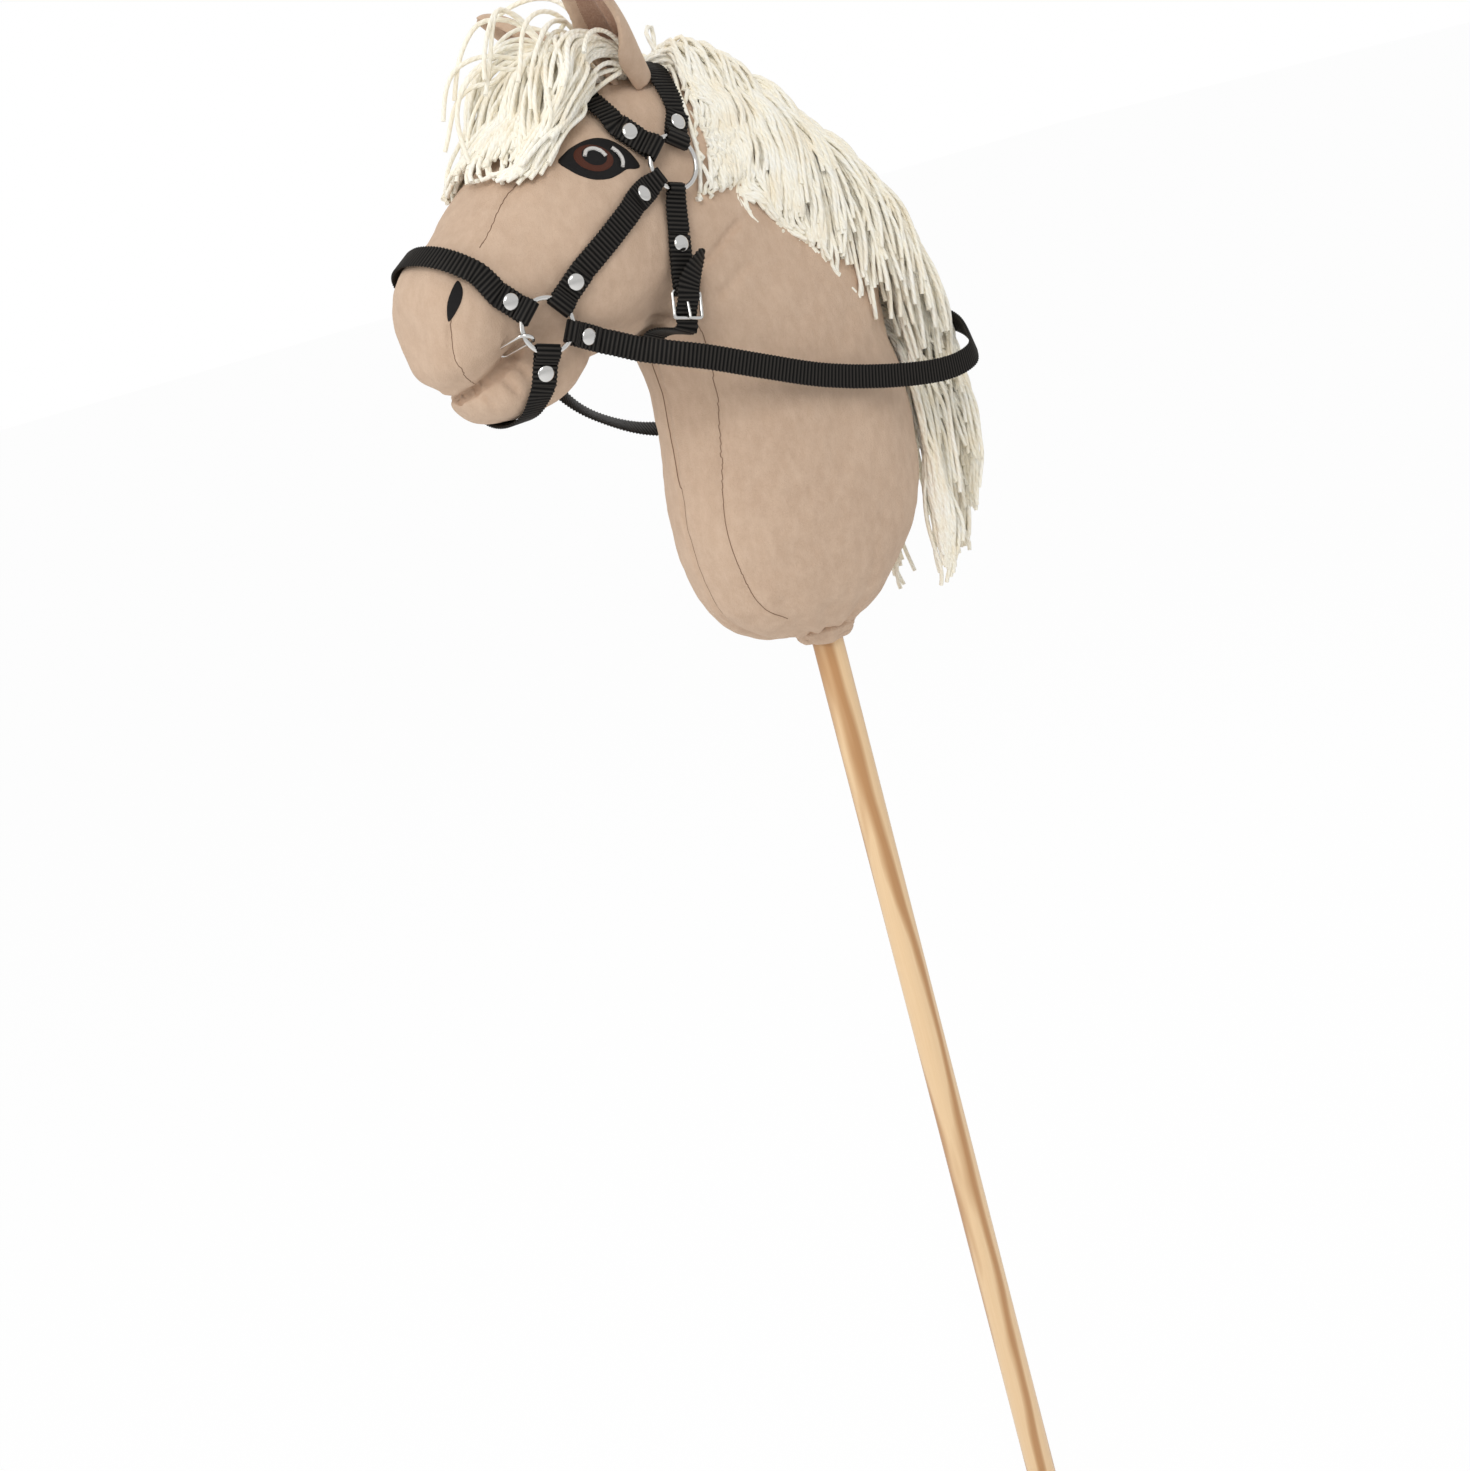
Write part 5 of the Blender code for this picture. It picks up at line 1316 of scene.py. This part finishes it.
def ring_end(side_name, rivet, flat=0.0):
    """The fold of a strap round a bridle ring; the wire curves away from the strap's edges."""
    kind, degrees, rivet_from, width = FOLDS[rivet]
    ring = RINGS[kind, side_name]
    sag = RING_RADIUS - math.sqrt(RING_RADIUS**2 - (width / 2) ** 2)
    tunnel = RING_WIRE / 2 + RING_PLAY
    out = ring.direction(degrees)
    fold = ring.centre + out * (RING_RADIUS - sag)
    end = FoldEnd(fold, out, ring.normal, tunnel, rivet_from, sag + tunnel / 2, width)
    end.flat = max(end.flat, flat)
    end.lean_on_form()
    return end


# %% [markdown]
# Between two folds the strap takes a smooth line over the form. A belt's line is the
# outline of the head in one plane, pulled taut like a string.

# %% Join the folds over the head
BELT_INSET = 0.35
BELT_RAYS = 31
BELT_HALF_TURN = 115
TIGHTENINGS = 200


def strap_between(start, end, middle):
    """A strap from one end to the other over the form."""
    guide = start.lead() + middle + end.lead()[::-1]
    line = line_through(guide, STRAP_STEP, trim=2)
    strap = Strap(*lay_on_form(start.lead()[:2] + line + end.lead()[1::-1]))
    start.settle(strap)
    strap = reverse(strap)
    end.settle(strap)
    strap = reverse(strap)
    lead = len(start.lead())
    between = range(lead, len(strap.normals) - lead)
    for i in between:
        across = strap.tangent(i).cross(strap.normals[i])
        strap.positions[i] = raised(strap.positions[i], across, strap.normals[i])
    for i in between:
        strap.normals[i] = square_to(strap.normals[i], strap.tangent(i))
    return strap


def fold_ends(strap, start=None, end=None):
    """The strap with a folded tail at each end that has a ring."""
    columns = [list(strap.positions), list(strap.normals), list(strap.widths)]
    if start:
        columns = [more + column for more, column in zip(start.turn(strap), columns)]
    if end:
        columns = [column + more[::-1] for more, column in zip(end.turn(reverse(strap)), columns)]
    return Strap(*columns)


def belt_middle(ring_at, top, ends):
    """Points of a taut belt over the head, in the plane of two rings and its top point."""
    low = place(ring_at[0], 0, ring_at[1])
    high = place(top[0], 0, top[1])
    up = (high - low).normalized()
    centre = low.lerp(high, BELT_INSET)
    points = [ends[0].lead()[-1]]
    for k in range(BELT_RAYS):
        turn = math.radians(-BELT_HALF_TURN + 2 * BELT_HALF_TURN * k / (BELT_RAYS - 1))
        hit = FORM.from_outside(centre, up * math.cos(turn) + Vector((0, 1, 0)) * math.sin(turn))
        off = all((hit - end.fold).length > end.flat + BELT_OFF_END for end in ends)
        if off and (hit - low).dot(up) > 0:
            points.append(hit)
    points.append(ends[1].lead()[-1])
    for _ in range(TIGHTENINGS):
        for i in range(1, len(points) - 1):
            middle = (points[i - 1] + points[i + 1]) / 2
            if (middle - centre).length > (points[i] - centre).length:
                points[i] = middle
    return points[1:-1]


# %% [markdown]
# ## Webbing with a real weave
# Narrow webbing has a rib every 2.5 mm and an edge that steps in between the ribs. The
# strap is drawn again in fine steps, and each step's thickness and width follow the rib.

# %% Weave a strap
RIB_PITCH = 0.0025
RIB_STEPS = 4
RIB_HEIGHT = 0.00034
EDGE_STEP = 0.0005
RIB_SINK = 0.00004
STRAP_SECTION = (
    (-1, -0.55), (-0.94, -1), (0, -1), (0.94, -1), (1, -0.55),
    (1, 0.55), (0.94, 1), (0, 1), (-0.94, 1), (-1, 0.55),
)


def woven(name, strap, body="horse"):
    """A strap with ribs, from stations made finer along a smooth curve."""
    rows = [(*p, *n, w) for p, n, w in zip(strap.positions, strap.normals, strap.widths)]
    fine = even_steps(curve_through(rows, 16 * len(rows)), RIB_PITCH / RIB_STEPS)
    points = [Vector(row[:3]) for row in fine]
    rings = []
    ribs = []
    for i, row in enumerate(fine):
        tangent = tangent_at(points, i)
        across = tangent.cross(Vector(row[3:6])).normalized()
        out = across.cross(tangent).normalized()
        rib = math.cos(2 * math.pi * i / RIB_STEPS)
        half = WEBBING_THICKNESS / 2 - RIB_SINK + RIB_HEIGHT * rib
        side = row[6] / 2 - EDGE_STEP / 2 + EDGE_STEP / 2 * rib
        rings.append([points[i] + across * (side * x) + out * (half * y) for x, y in STRAP_SECTION])
        # The share of painted light at each point: 1 on a rib's top, painted lighter, and 0 in the groove,
        # painted darker.
        ribs += [0.5 + 0.5 * rib] * len(STRAP_SECTION)
    obj = add_piece(name, loft(rings), polyester, body, sharp_degrees=60)
    obj.data.attributes.new("rib", "FLOAT", "POINT").data.foreach_set("value", ribs)
    return obj


# %% [markdown]
# Four belts go over or under the head, and a cheek strap joins the rings on each side.

# %% Belts and cheek straps
BELTS = (
    ("noseband", "noseband", (-205.0, 287.0)),
    ("chin_strap", "chin", (-176.0, 186.0)),
    ("browband", "browband", (-95.0, 363.0)),
    ("crownpiece", "crown", (-26.0, 366.0)),
)
rivets = {}


def belt(name, rivet, top):
    """A strap from the left ring over or under the head to the right ring."""
    ends = [ring_end(side_name, rivet) for side_name in SIDES]
    strap = strap_between(*ends, belt_middle(RING_AT[FOLDS[rivet][0]], top, ends))
    length = arc_lengths(strap.positions)[-1]
    for side_name, mark in zip(SIDES, (ends[0].rivet_from, length - ends[1].rivet_from)):
        rivets[f"{rivet}_rivet_{side_name}"] = strap.at(mark)
    obj = woven(name + "_webbing", fold_ends(strap, *ends))
    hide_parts(name)
    print(name, "runs", round(length * 1000), "mm")


for name, rivet, top in BELTS:
    belt(name, rivet, top)
for side_name in SIDES:
    lower = ring_end(side_name, "cheek_lower")
    upper = ring_end(side_name, "cheek_upper")
    strap = strap_between(lower, upper, [])
    length = arc_lengths(strap.positions)[-1]
    rivets["cheek_lower_rivet_" + side_name] = strap.at(lower.rivet_from)
    rivets["cheek_upper_rivet_" + side_name] = strap.at(length - upper.rivet_from)
    obj = woven("cheek_webbing_" + side_name, fold_ends(strap, lower, upper))
    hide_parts("cheek_strap_" + side_name)

# %% [markdown]
# ## Throatlatch and buckle
# The belt under the throat closes on the left with a wire buckle. A short riveted loop
# holds the frame, and the other end passes under the prong and out as a tongue.

# %% Lay the throatlatch
BUCKLE_WIRE = 0.0022
BUCKLE_LENGTH = 0.015
BUCKLE_PLAY = 0.0008
BUCKLE_CORNER = 0.0018
BUCKLE_FROM_FOLD = 0.058
LOOP_TAILS = -0.0065
TONGUE_LENGTH = 0.022
TONGUE_DRIFT = 0.010
TONGUE_TWIST_DEGREES = 48
TONGUE_RISE = 0.004


def round_end(radius):
    """Distances along and widths of a strap's rounded end, from the tip inwards."""
    turns = [math.radians(8 + (90 - 8) * k / 9) for k in range(9)]
    return [(radius - radius * math.cos(turn), 2 * radius * math.sin(turn)) for turn in turns]


left = ring_end("left", "throat_loop", BUCKLE_FROM_FOLD + BUCKLE_LENGTH + STRAP_STEP / 2)
left.tail = left.rivet_from + LOOP_TAILS
right = ring_end("right", "throat")
belt_line = strap_between(left, right, belt_middle(RING_AT["temple"], THROAT_BOTTOM, (left, right)))
belt_length = arc_lengths(belt_line.positions)[-1]
point, out = belt_line.at(BUCKLE_FROM_FOLD)
along = left.out
rise = BUCKLE_WIRE / 2 + GAP + WEBBING_THICKNESS / 2
heel = point + out * rise
front = heel + along * BUCKLE_LENGTH
across = along.cross(out).normalized()
bar_end = FoldEnd(heel, -along, out, BUCKLE_WIRE / 2 + GAP, BUCKLE_FROM_FOLD - left.rivet_from, BUCKLE_WIRE / 4)
bar_end.tail = bar_end.rivet_from - LOOP_TAILS - LAYER
rivets["throat_rivet_left"] = belt_line.at(left.rivet_from)
rivets["throat_rivet_right"] = belt_line.at(belt_length - right.rivet_from)
loop = woven("throat_loop_webbing", fold_ends(belt_line.part(0, BUCKLE_FROM_FOLD), left, bar_end))
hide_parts("throatlatch_loop")

positions = []
facings = []
widths = []
over = rise + WEBBING_THICKNESS + GAP
tongue = [(TONGUE_LENGTH - reach, width) for reach, width in round_end(WEBBING_WIDTH / 2)]
tongue += [(TONGUE_LENGTH * share, WEBBING_WIDTH) for share in (0.6, 0.45, 0.2, 0.0)]
for reach, width in tongue:
    drift = across * (-TONGUE_DRIFT * (reach / TONGUE_LENGTH) ** 1.5)
    twist = math.radians(TONGUE_TWIST_DEGREES) * ease(reach / TONGUE_LENGTH)
    positions.append(heel - along * reach + out * (over + TONGUE_RISE * ease(reach / TONGUE_LENGTH)) + drift)
    facings.append((out * math.cos(twist) - across * math.sin(twist)).normalized())
    widths.append(width)
for share in (0.3, 0.6, 0.85):
    height = over + (-rise - over) * ease(share * 1.1)
    positions.append(heel + along * (BUCKLE_LENGTH * share) + out * height)
    facings.append(out)
    widths.append(WEBBING_WIDTH)
rest = fold_ends(belt_line.part(BUCKLE_FROM_FOLD + BUCKLE_LENGTH, belt_length), None, right)
strap = Strap(positions + rest.positions, facings + rest.normals, widths + rest.widths)
latch = woven("throatlatch_webbing", strap)
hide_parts("throatlatch")
print("throatlatch runs", round(belt_length * 1000), "mm")

# %% [markdown]
# The buckle is a wire frame with round corners. Its prong is a wire sleeve round the heel
# bar with a shaft that reaches over the front bar.

# %% Bend the buckle and its prong
PRONG_DIAMETER = 0.0018
PRONG_PLAY = 0.0002
PRONG_OVER_FRONT = 0.0014
SLEEVE_HALF_WALL = 0.0005
SLEEVE_HALF_LENGTH = 0.0011
half = WEBBING_WIDTH / 2 + BUCKLE_PLAY + BUCKLE_WIRE / 2
frame_line = []
for quarter, (sideways, end, inward) in enumerate(((1, front, -1), (-1, front, -1), (-1, heel, 1), (1, heel, 1))):
    centre = end + across * (sideways * (half - BUCKLE_CORNER)) + along * (inward * BUCKLE_CORNER)
    for k in range(7):
        turn = math.radians(90 * quarter + 15 * k)
        frame_line.append(centre + (across * math.cos(turn) + along * math.sin(turn)) * BUCKLE_CORNER)
buckle = wire("wire_buckle", [frame_line], BUCKLE_WIRE / 2, plate, 16, closed=True)
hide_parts("buckle_frame")

bore = BUCKLE_WIRE / 2 + PRONG_PLAY
sleeve = [
    (bore + SLEEVE_HALF_WALL + SLEEVE_HALF_WALL * math.cos(t), SLEEVE_HALF_LENGTH * math.sin(t))
    for t in np.linspace(0, 2 * math.pi, 17)
]
bm = spun(sleeve, 32, heel, across)
start = heel + along * (bore + 0.0004)
tip = front + out * (BUCKLE_WIRE / 2 + GAP + PRONG_DIAMETER / 2)
tip = tip + (tip - start).normalized() * PRONG_OVER_FRONT
reach = (tip - start).length
taper = [
    (0, 0), (PRONG_DIAMETER / 2, 0), (PRONG_DIAMETER / 2, reach * 0.7), (0.00075, reach - 0.0006),
    (0.0005, reach - 0.0001), (0, reach),
]
merge(bm, spun(taper, 20, start, (tip - start).normalized()))
prong = add_piece("wire_prong", bm, plate, "prong")
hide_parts("buckle_prong")
print("buckle and prong:", round(BUCKLE_LENGTH * 1000), "mm long")

# %% [markdown]
# The bit comes out at the corners of the mouth, as a long wire eye round each mouth ring.

# %% Bend the bit
BIT_BAR_DIAMETER = 0.004
BIT_EYE_WIRE = 0.0022
BIT_EYE_ANGLE = 194.0
BIT_EYE_TILT_DEGREES = 45.0
BIT_CORNER_AT = (-184.0, 227.0)
BIT_CORNER_SINK = 0.003
BIT_EYE_PLAY = 0.0011
tilt = math.radians(BIT_EYE_TILT_DEGREES)
half = RING_WIRE / 2 / math.cos(tilt) + BIT_EYE_PLAY + BIT_EYE_WIRE / 2
eye_lines = []
bit_corners = []
for side_name, side in SIDES.items():
    ring = RINGS["mouth", side_name]
    corner = FORM.from_outside(place(BIT_CORNER_AT[0], 0, BIT_CORNER_AT[1]), Vector((0, side, 0)))
    corner -= Vector((0, side * BIT_CORNER_SINK, 0))
    ring_out = ring.direction(BIT_EYE_ANGLE)
    touch = ring.centre + ring_out * RING_RADIUS
    eye_along = (corner - touch).normalized()
    bar_along = ring_out.cross(ring.normal) * side
    eye_across = eye_along.cross(bar_along * side).normalized()
    bar_along = eye_across.cross(eye_along) * math.copysign(1, eye_across.cross(eye_along).dot(bar_along))
    eye_across = eye_across * math.cos(tilt) + bar_along * math.sin(tilt)
    line = []
    for centre, forward in ((corner - eye_along * half, eye_along), (touch, -eye_along)):
        sideways = eye_across * math.copysign(1, forward.dot(eye_along))
        for degrees in range(-90, 91, 15):
            turn = math.radians(degrees)
            line.append(centre + (forward * math.cos(turn) + sideways * math.sin(turn)) * half)
    eye_lines.append(line)
    bit_corners.append(corner)
bit = wire("wire_bit", eye_lines, BIT_EYE_WIRE / 2, plate, 16, closed=True)
bar = wire("bit_bar", [bit_corners], BIT_BAR_DIAMETER / 2, plate, 16)
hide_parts("bit")
print("bit spans", round((bit_corners[1] - bit_corners[0]).length * 1000), "mm")

# %% [markdown]
# ## Reins
# One band of webbing goes from the left mouth ring round behind the mane and back to the
# right ring. It is riveted at both rings, and the places just behind them where it would
# flex are worked out.

# %% Lay the reins
REIN_FLEX_FROM_RING = 0.046
REIN_FLARE = 0.006
REIN_STEP = 0.012
REIN_ROUTE = [
    (-100, -68, 202), (-80, -72, 194), (-50, -74, 181), (-8, -75, 164), (38, -75, 151), (84, -71, 143),
    (116, -62, 144), (131, -48, 151), (142, -26, 161), (146, 8, 168), (136, 42, 169), (122, 64, 165),
    (84, 75, 154), (38, 79, 147), (-8, 79, 143), (-44, 77, 150), (-78, 74, 168), (-100, 68, 188),
]
REIN_FAR_TWIST_DEGREES = 50.0
REIN_RUN_ON = 0.009
REIN_TURN_IN = 0.03
REIN_OVAL_MIDDLE = 0.020
REIN_OVAL_HALF_LENGTH = 0.165
REIN_OVAL_HALF_WIDTH = 0.075
REIN_FLEX_AHEAD = Vector((0.0106, 0, -0.0058))
REIN_FLEX_BEHIND = Vector((0.0134, 0, -0.0072))


def rein_outward(point, along, twist_degrees):
    """The direction that the rein's outer face looks in, round the loop."""
    lengthwise = (point.x - REIN_OVAL_MIDDLE) / REIN_OVAL_HALF_LENGTH**2
    out = Vector((lengthwise, point.y / REIN_OVAL_HALF_WIDTH**2, 0))
    return Matrix.Rotation(math.radians(twist_degrees), 3, along) @ square_to(out, along)


def rein_start(side_name):
    """The riveted end of the reins at one mouth ring."""
    end = ring_end(side_name, "rein")
    length = REIN_FLEX_FROM_RING - (end.fold - RINGS["mouth", side_name].centre).length
    bend = length - end.flat
    positions = []
    for mark in (0, end.flat / 2, end.flat, *(end.flat + bend * k / 4 for k in range(1, 5))):
        flare = REIN_FLARE * ease((mark - end.flat) / bend)
        positions.append(end.fold + end.out * mark - end.normal * (end.radius - flare))
    strap = Strap(positions, [end.normal.copy() for _ in positions])
    rivets["rein_rivet_" + side_name] = strap.at(end.rivet_from)
    return fold_ends(strap, end), strap.tangent(len(positions) - 1), strap.normals[-1]


(left_strap, left_along, left_out), (right_strap, right_along, right_out) = (rein_start(name) for name in SIDES)
left_flex = left_strap.positions[-1]
right_flex = right_strap.positions[-1]
route = [place(*row) for row in REIN_ROUTE]
leaving = left_flex + left_along * REIN_RUN_ON
arriving = right_flex + right_along * REIN_RUN_ON
line = line_through([left_flex, leaving, *route, arriving, right_flex], REIN_STEP)
positions = line[1:-1]
normals = []
for i, point in enumerate(positions, 1):
    share = i / (len(line) - 1)
    far = ease((share - 0.55) / 0.25) * ease((1 - share) / 0.12)
    facing = rein_outward(point, tangent_at(line, i), REIN_FAR_TWIST_DEGREES * far)
    near_end = max(1 - (point - left_flex).length / REIN_TURN_IN, 0)
    far_end = max(1 - (point - right_flex).length / REIN_TURN_IN, 0)
    facing = facing.lerp(left_out, ease(near_end)).lerp(right_out, ease(far_end))
    normals.append(facing.normalized())
back_strap = reverse(right_strap)
whole = Strap(
    [*left_strap.positions, *positions, *back_strap.positions],
    [*left_strap.normals, *normals, *back_strap.normals],
    [*left_strap.widths, *([WEBBING_WIDTH] * len(positions)), *back_strap.widths],
)
reins = woven("reins_webbing", whole, body=None)
flex_start = (left_flex + right_flex) / 2 - REIN_FLEX_AHEAD
flex_end = (left_flex + right_flex) / 2 + REIN_FLEX_BEHIND
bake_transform(reins)
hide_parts("reins", "rein_end_left", "rein_end_right")
rein_length = arc_lengths(line)[-1]
print("reins:", round(rein_length * 1000), "mm between the flexing places")

# %% [markdown]
# Every fold is held by a domed rivet. Its cap has a rolled edge and sits on the outer layer.

# %% Set the rivets
CAP_RADIUS = RIVET_CAP_DIAMETER / 2
CAP_UNDER = WEBBING_THICKNESS / 2 + LAYER
CAP_DOME = 0.0017
rivet_profile = [
    (0, CAP_UNDER - 0.0012), (CAP_RADIUS - 0.0006, CAP_UNDER - 0.0012), (CAP_RADIUS - 0.0002, CAP_UNDER - 0.0002),
    (CAP_RADIUS, CAP_UNDER + 0.0002),
]
for t in np.linspace(0.1, math.pi / 2 - 0.12, 9):
    rivet_profile.append((CAP_RADIUS * math.cos(t), CAP_UNDER + 0.0004 + CAP_DOME * math.sin(t)))
rivet_profile.append((0, CAP_UNDER + 0.0021))
bm = bmesh.new()
for point, normal in rivets.values():
    merge(bm, spun(rivet_profile, 40, point, normal))
caps = add_piece("cap_rivets", bm, plate, sharp_degrees=70)
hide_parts(*rivets)
print("rivets:", len(rivets))

# %% [markdown]
# ## Yarn mane
# About two thousand loose ends of thick wool are sewn on the crest and between the ears.
# Each is walked out from its root in short steps: it starts outwards, gravity bends it
# down, and where it meets the cloth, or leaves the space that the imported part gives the
# hair, it is pushed back and slides on.

# %% Walk a strand
YARN_RADIUS = 0.00135
YARN_STEP = 0.0045
YARN_SIDES = 6
WOBBLE = 0.055
INNER_FACES = 0.006
OFF_CLOTH_SHARE = 0.8
INTO_MASS_SHARE = 0.4
FILL_WITHIN = 0.002


def outer_tree(node):
    """The faces of a packed hair mass that stand off the cloth."""
    bm = bmesh.new()
    bm.from_mesh(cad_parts[node].data)
    bmesh.ops.remove_doubles(bm, verts=bm.verts, dist=1e-6)
    inner = [f for f in bm.faces if FORM.clearance(f.calc_center_median())[0] < INNER_FACES]
    bmesh.ops.delete(bm, geom=inner, context="FACES")
    return tree_from(bm)


soft = bmesh.new()
for piece in (horse_skin, *ears):
    soft.from_mesh(piece.data)
CLOTH = tree_from(soft)
mane_outside = outer_tree("mane")
forelock_outside = outer_tree("forelock")
DOWN = Vector((0, 0, -1))


def walk(root, heading, length, height, mass, fill, stiffness, drift, loose=0.003):
    """Points of one strand.

    It keeps a height above the cloth, moves out towards the mass's surface by the share
    fill, and may leave the mass by the distance loose.
    """
    points = [root]
    point = root.copy()
    steps = round(length / YARN_STEP)
    phases = [random.uniform(0, 2 * math.pi) for _ in range(3)]
    pitch = random.uniform(0.28, 0.5)
    for k in range(steps):
        wobble = Vector([math.sin(k * pitch + phase) for phase in phases]) * WOBBLE
        heading = (heading * stiffness + (DOWN + drift) * (1 - stiffness) + wobble).normalized()
        point = point + heading * YARN_STEP
        hit, normal, _, distance = CLOTH.find_nearest(point)
        above = math.copysign(distance, (point - hit).dot(normal))
        if above < height:
            point = point + normal * ((height - above) * OFF_CLOTH_SHARE)
        hit, normal, _, distance = mass.find_nearest(point)
        deep = math.copysign(distance, (hit - point).dot(normal))
        if deep < -loose:
            point = point + normal * ((deep + loose) * INTO_MASS_SHARE)
        elif 3 < k < steps * 0.6 and normal.z > -0.3 and deep > FILL_WITHIN:
            point = point + normal * ((deep - FILL_WITHIN) * fill)
        heading = (point - points[-1]).normalized()
        point = points[-1] + heading * YARN_STEP
        points.append(point.copy())
    return points


def strands(name, lines, groups, node):
    """Thick yarn along many lines, in a few pieces, with a map that winds the twist."""
    share = math.ceil(len(lines) / groups)
    faces = 0
    for group in range(groups):
        chosen = lines[group * share : (group + 1) * share]
        obj = wire(f"{name}_{group + 1}", chosen, YARN_RADIUS, wool, YARN_SIDES)
        if group == 0:
            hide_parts(node)
        faces += len(obj.data.polygons)
    print(name, len(lines), "strands,", faces, "faces")


# %% [markdown]
# The mane is sewn along the crest in layers, the outer ones standing further off the cloth.

# %% Sew on the mane
CREST = [
    (-33, 363), (-14, 354), (8, 341), (36, 318), (64, 291), (86, 258), (95, 228), (94, 203), (93, 176), (96, 144),
    (95, 118),
]
MANE_LENGTHS = [134, 138, 142, 140, 126]
MANE_LAYERS = 5
MANE_ROW = 145
MANE_PARTING = 6
MANE_OFF_CLOTH = 0.0013
MANE_DEPTH = 0.0085
MANE_FILL = 0.20
MANE_STIFFNESS = 0.78
ROOT_SINK = 0.002
random.seed(11)
crest = even_steps(curve_through([(x, 0, z) for x, z in CREST], 120), 0.5)
mane_lines = []
for layer in range(MANE_LAYERS):
    for side in SIDES.values():
        for k in range(MANE_ROW):
            share = ((k + random.random()) / MANE_ROW) ** 1.2
            x, _, z = crest[int(share * (len(crest) - 1))]
            out_share = (layer + random.random()) / MANE_LAYERS
            hit, normal, _, _ = SURFACE.find_nearest(place(x, side * random.uniform(0, MANE_PARTING), z))
            spread = random.uniform(0.1, 1.2)
            heading = (normal * (0.35 + 0.4 * out_share) + Vector((0, side * spread, 0))).normalized()
            forward = -0.10 - 0.24 * max(0, 1 - share / 0.3)
            drift = Vector((random.gauss(forward, 0.05), random.gauss(0, 0.04), 0))
            usual = float(np.interp(share, np.linspace(0, 1, len(MANE_LENGTHS)), MANE_LENGTHS)) * MM
            length = usual + random.gauss(0, 0.006)
            height = MANE_OFF_CLOTH + MANE_DEPTH * out_share
            root = hit - normal * ROOT_SINK
            fill = MANE_FILL * out_share
            mane_lines.append(walk(root, heading, length, height, mane_outside, fill, MANE_STIFFNESS, drift))
random.shuffle(mane_lines)
strands("mane_yarn", mane_lines, 4, "mane")

# %% [markdown]
# The forelock fans out from a patch between the ears and falls over the forehead.

# %% Sew on the forelock
FORELOCK_COUNT = 640
FORELOCK_ROOTS = (-76, -52)
FORELOCK_HALF_WIDTH = 17
FORELOCK_TOP = 366
FORELOCK_OFF_CLOTH = 0.003
FORELOCK_DEPTH = 0.0065
FORELOCK_FILL = 0.25
FORELOCK_STIFFNESS = 0.85
random.seed(23)
forelock_lines = []
for _ in range(FORELOCK_COUNT):
    aside = random.uniform(-1, 1)
    out_share = random.random() ** 0.8
    start = place(random.uniform(*FORELOCK_ROOTS), aside * FORELOCK_HALF_WIDTH, FORELOCK_TOP)
    hit, normal, _, _ = SURFACE.find_nearest(start)
    rising = 0.1 + 1.2 * out_share
    heading = Vector((-0.8 - 0.3 * random.random(), aside * 0.95, rising)).normalized()
    drift = Vector((random.gauss(-0.20 + 0.12 * abs(aside), 0.08), random.gauss(0.3 * aside, 0.09), 0))
    length = random.gauss(0.092 + 0.036 * out_share - 0.014 * abs(aside), 0.007)
    loose = 0.003 + 0.02 * abs(aside) * (1 - 0.6 * out_share)
    height = FORELOCK_OFF_CLOTH + FORELOCK_DEPTH * out_share
    root = hit - normal * ROOT_SINK
    fill = FORELOCK_FILL * out_share
    line = walk(root, heading, length, height, forelock_outside, fill, FORELOCK_STIFFNESS, drift, loose)
    forelock_lines.append(line)
strands("forelock_yarn", forelock_lines, 2, "forelock")

# %% [markdown]
# ## Finish
# The cross peg isn't replaced by a piece, so the imported node takes the pine itself.

# %% Give the cross peg its finish
dress(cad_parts["cross_peg"].data, pine)
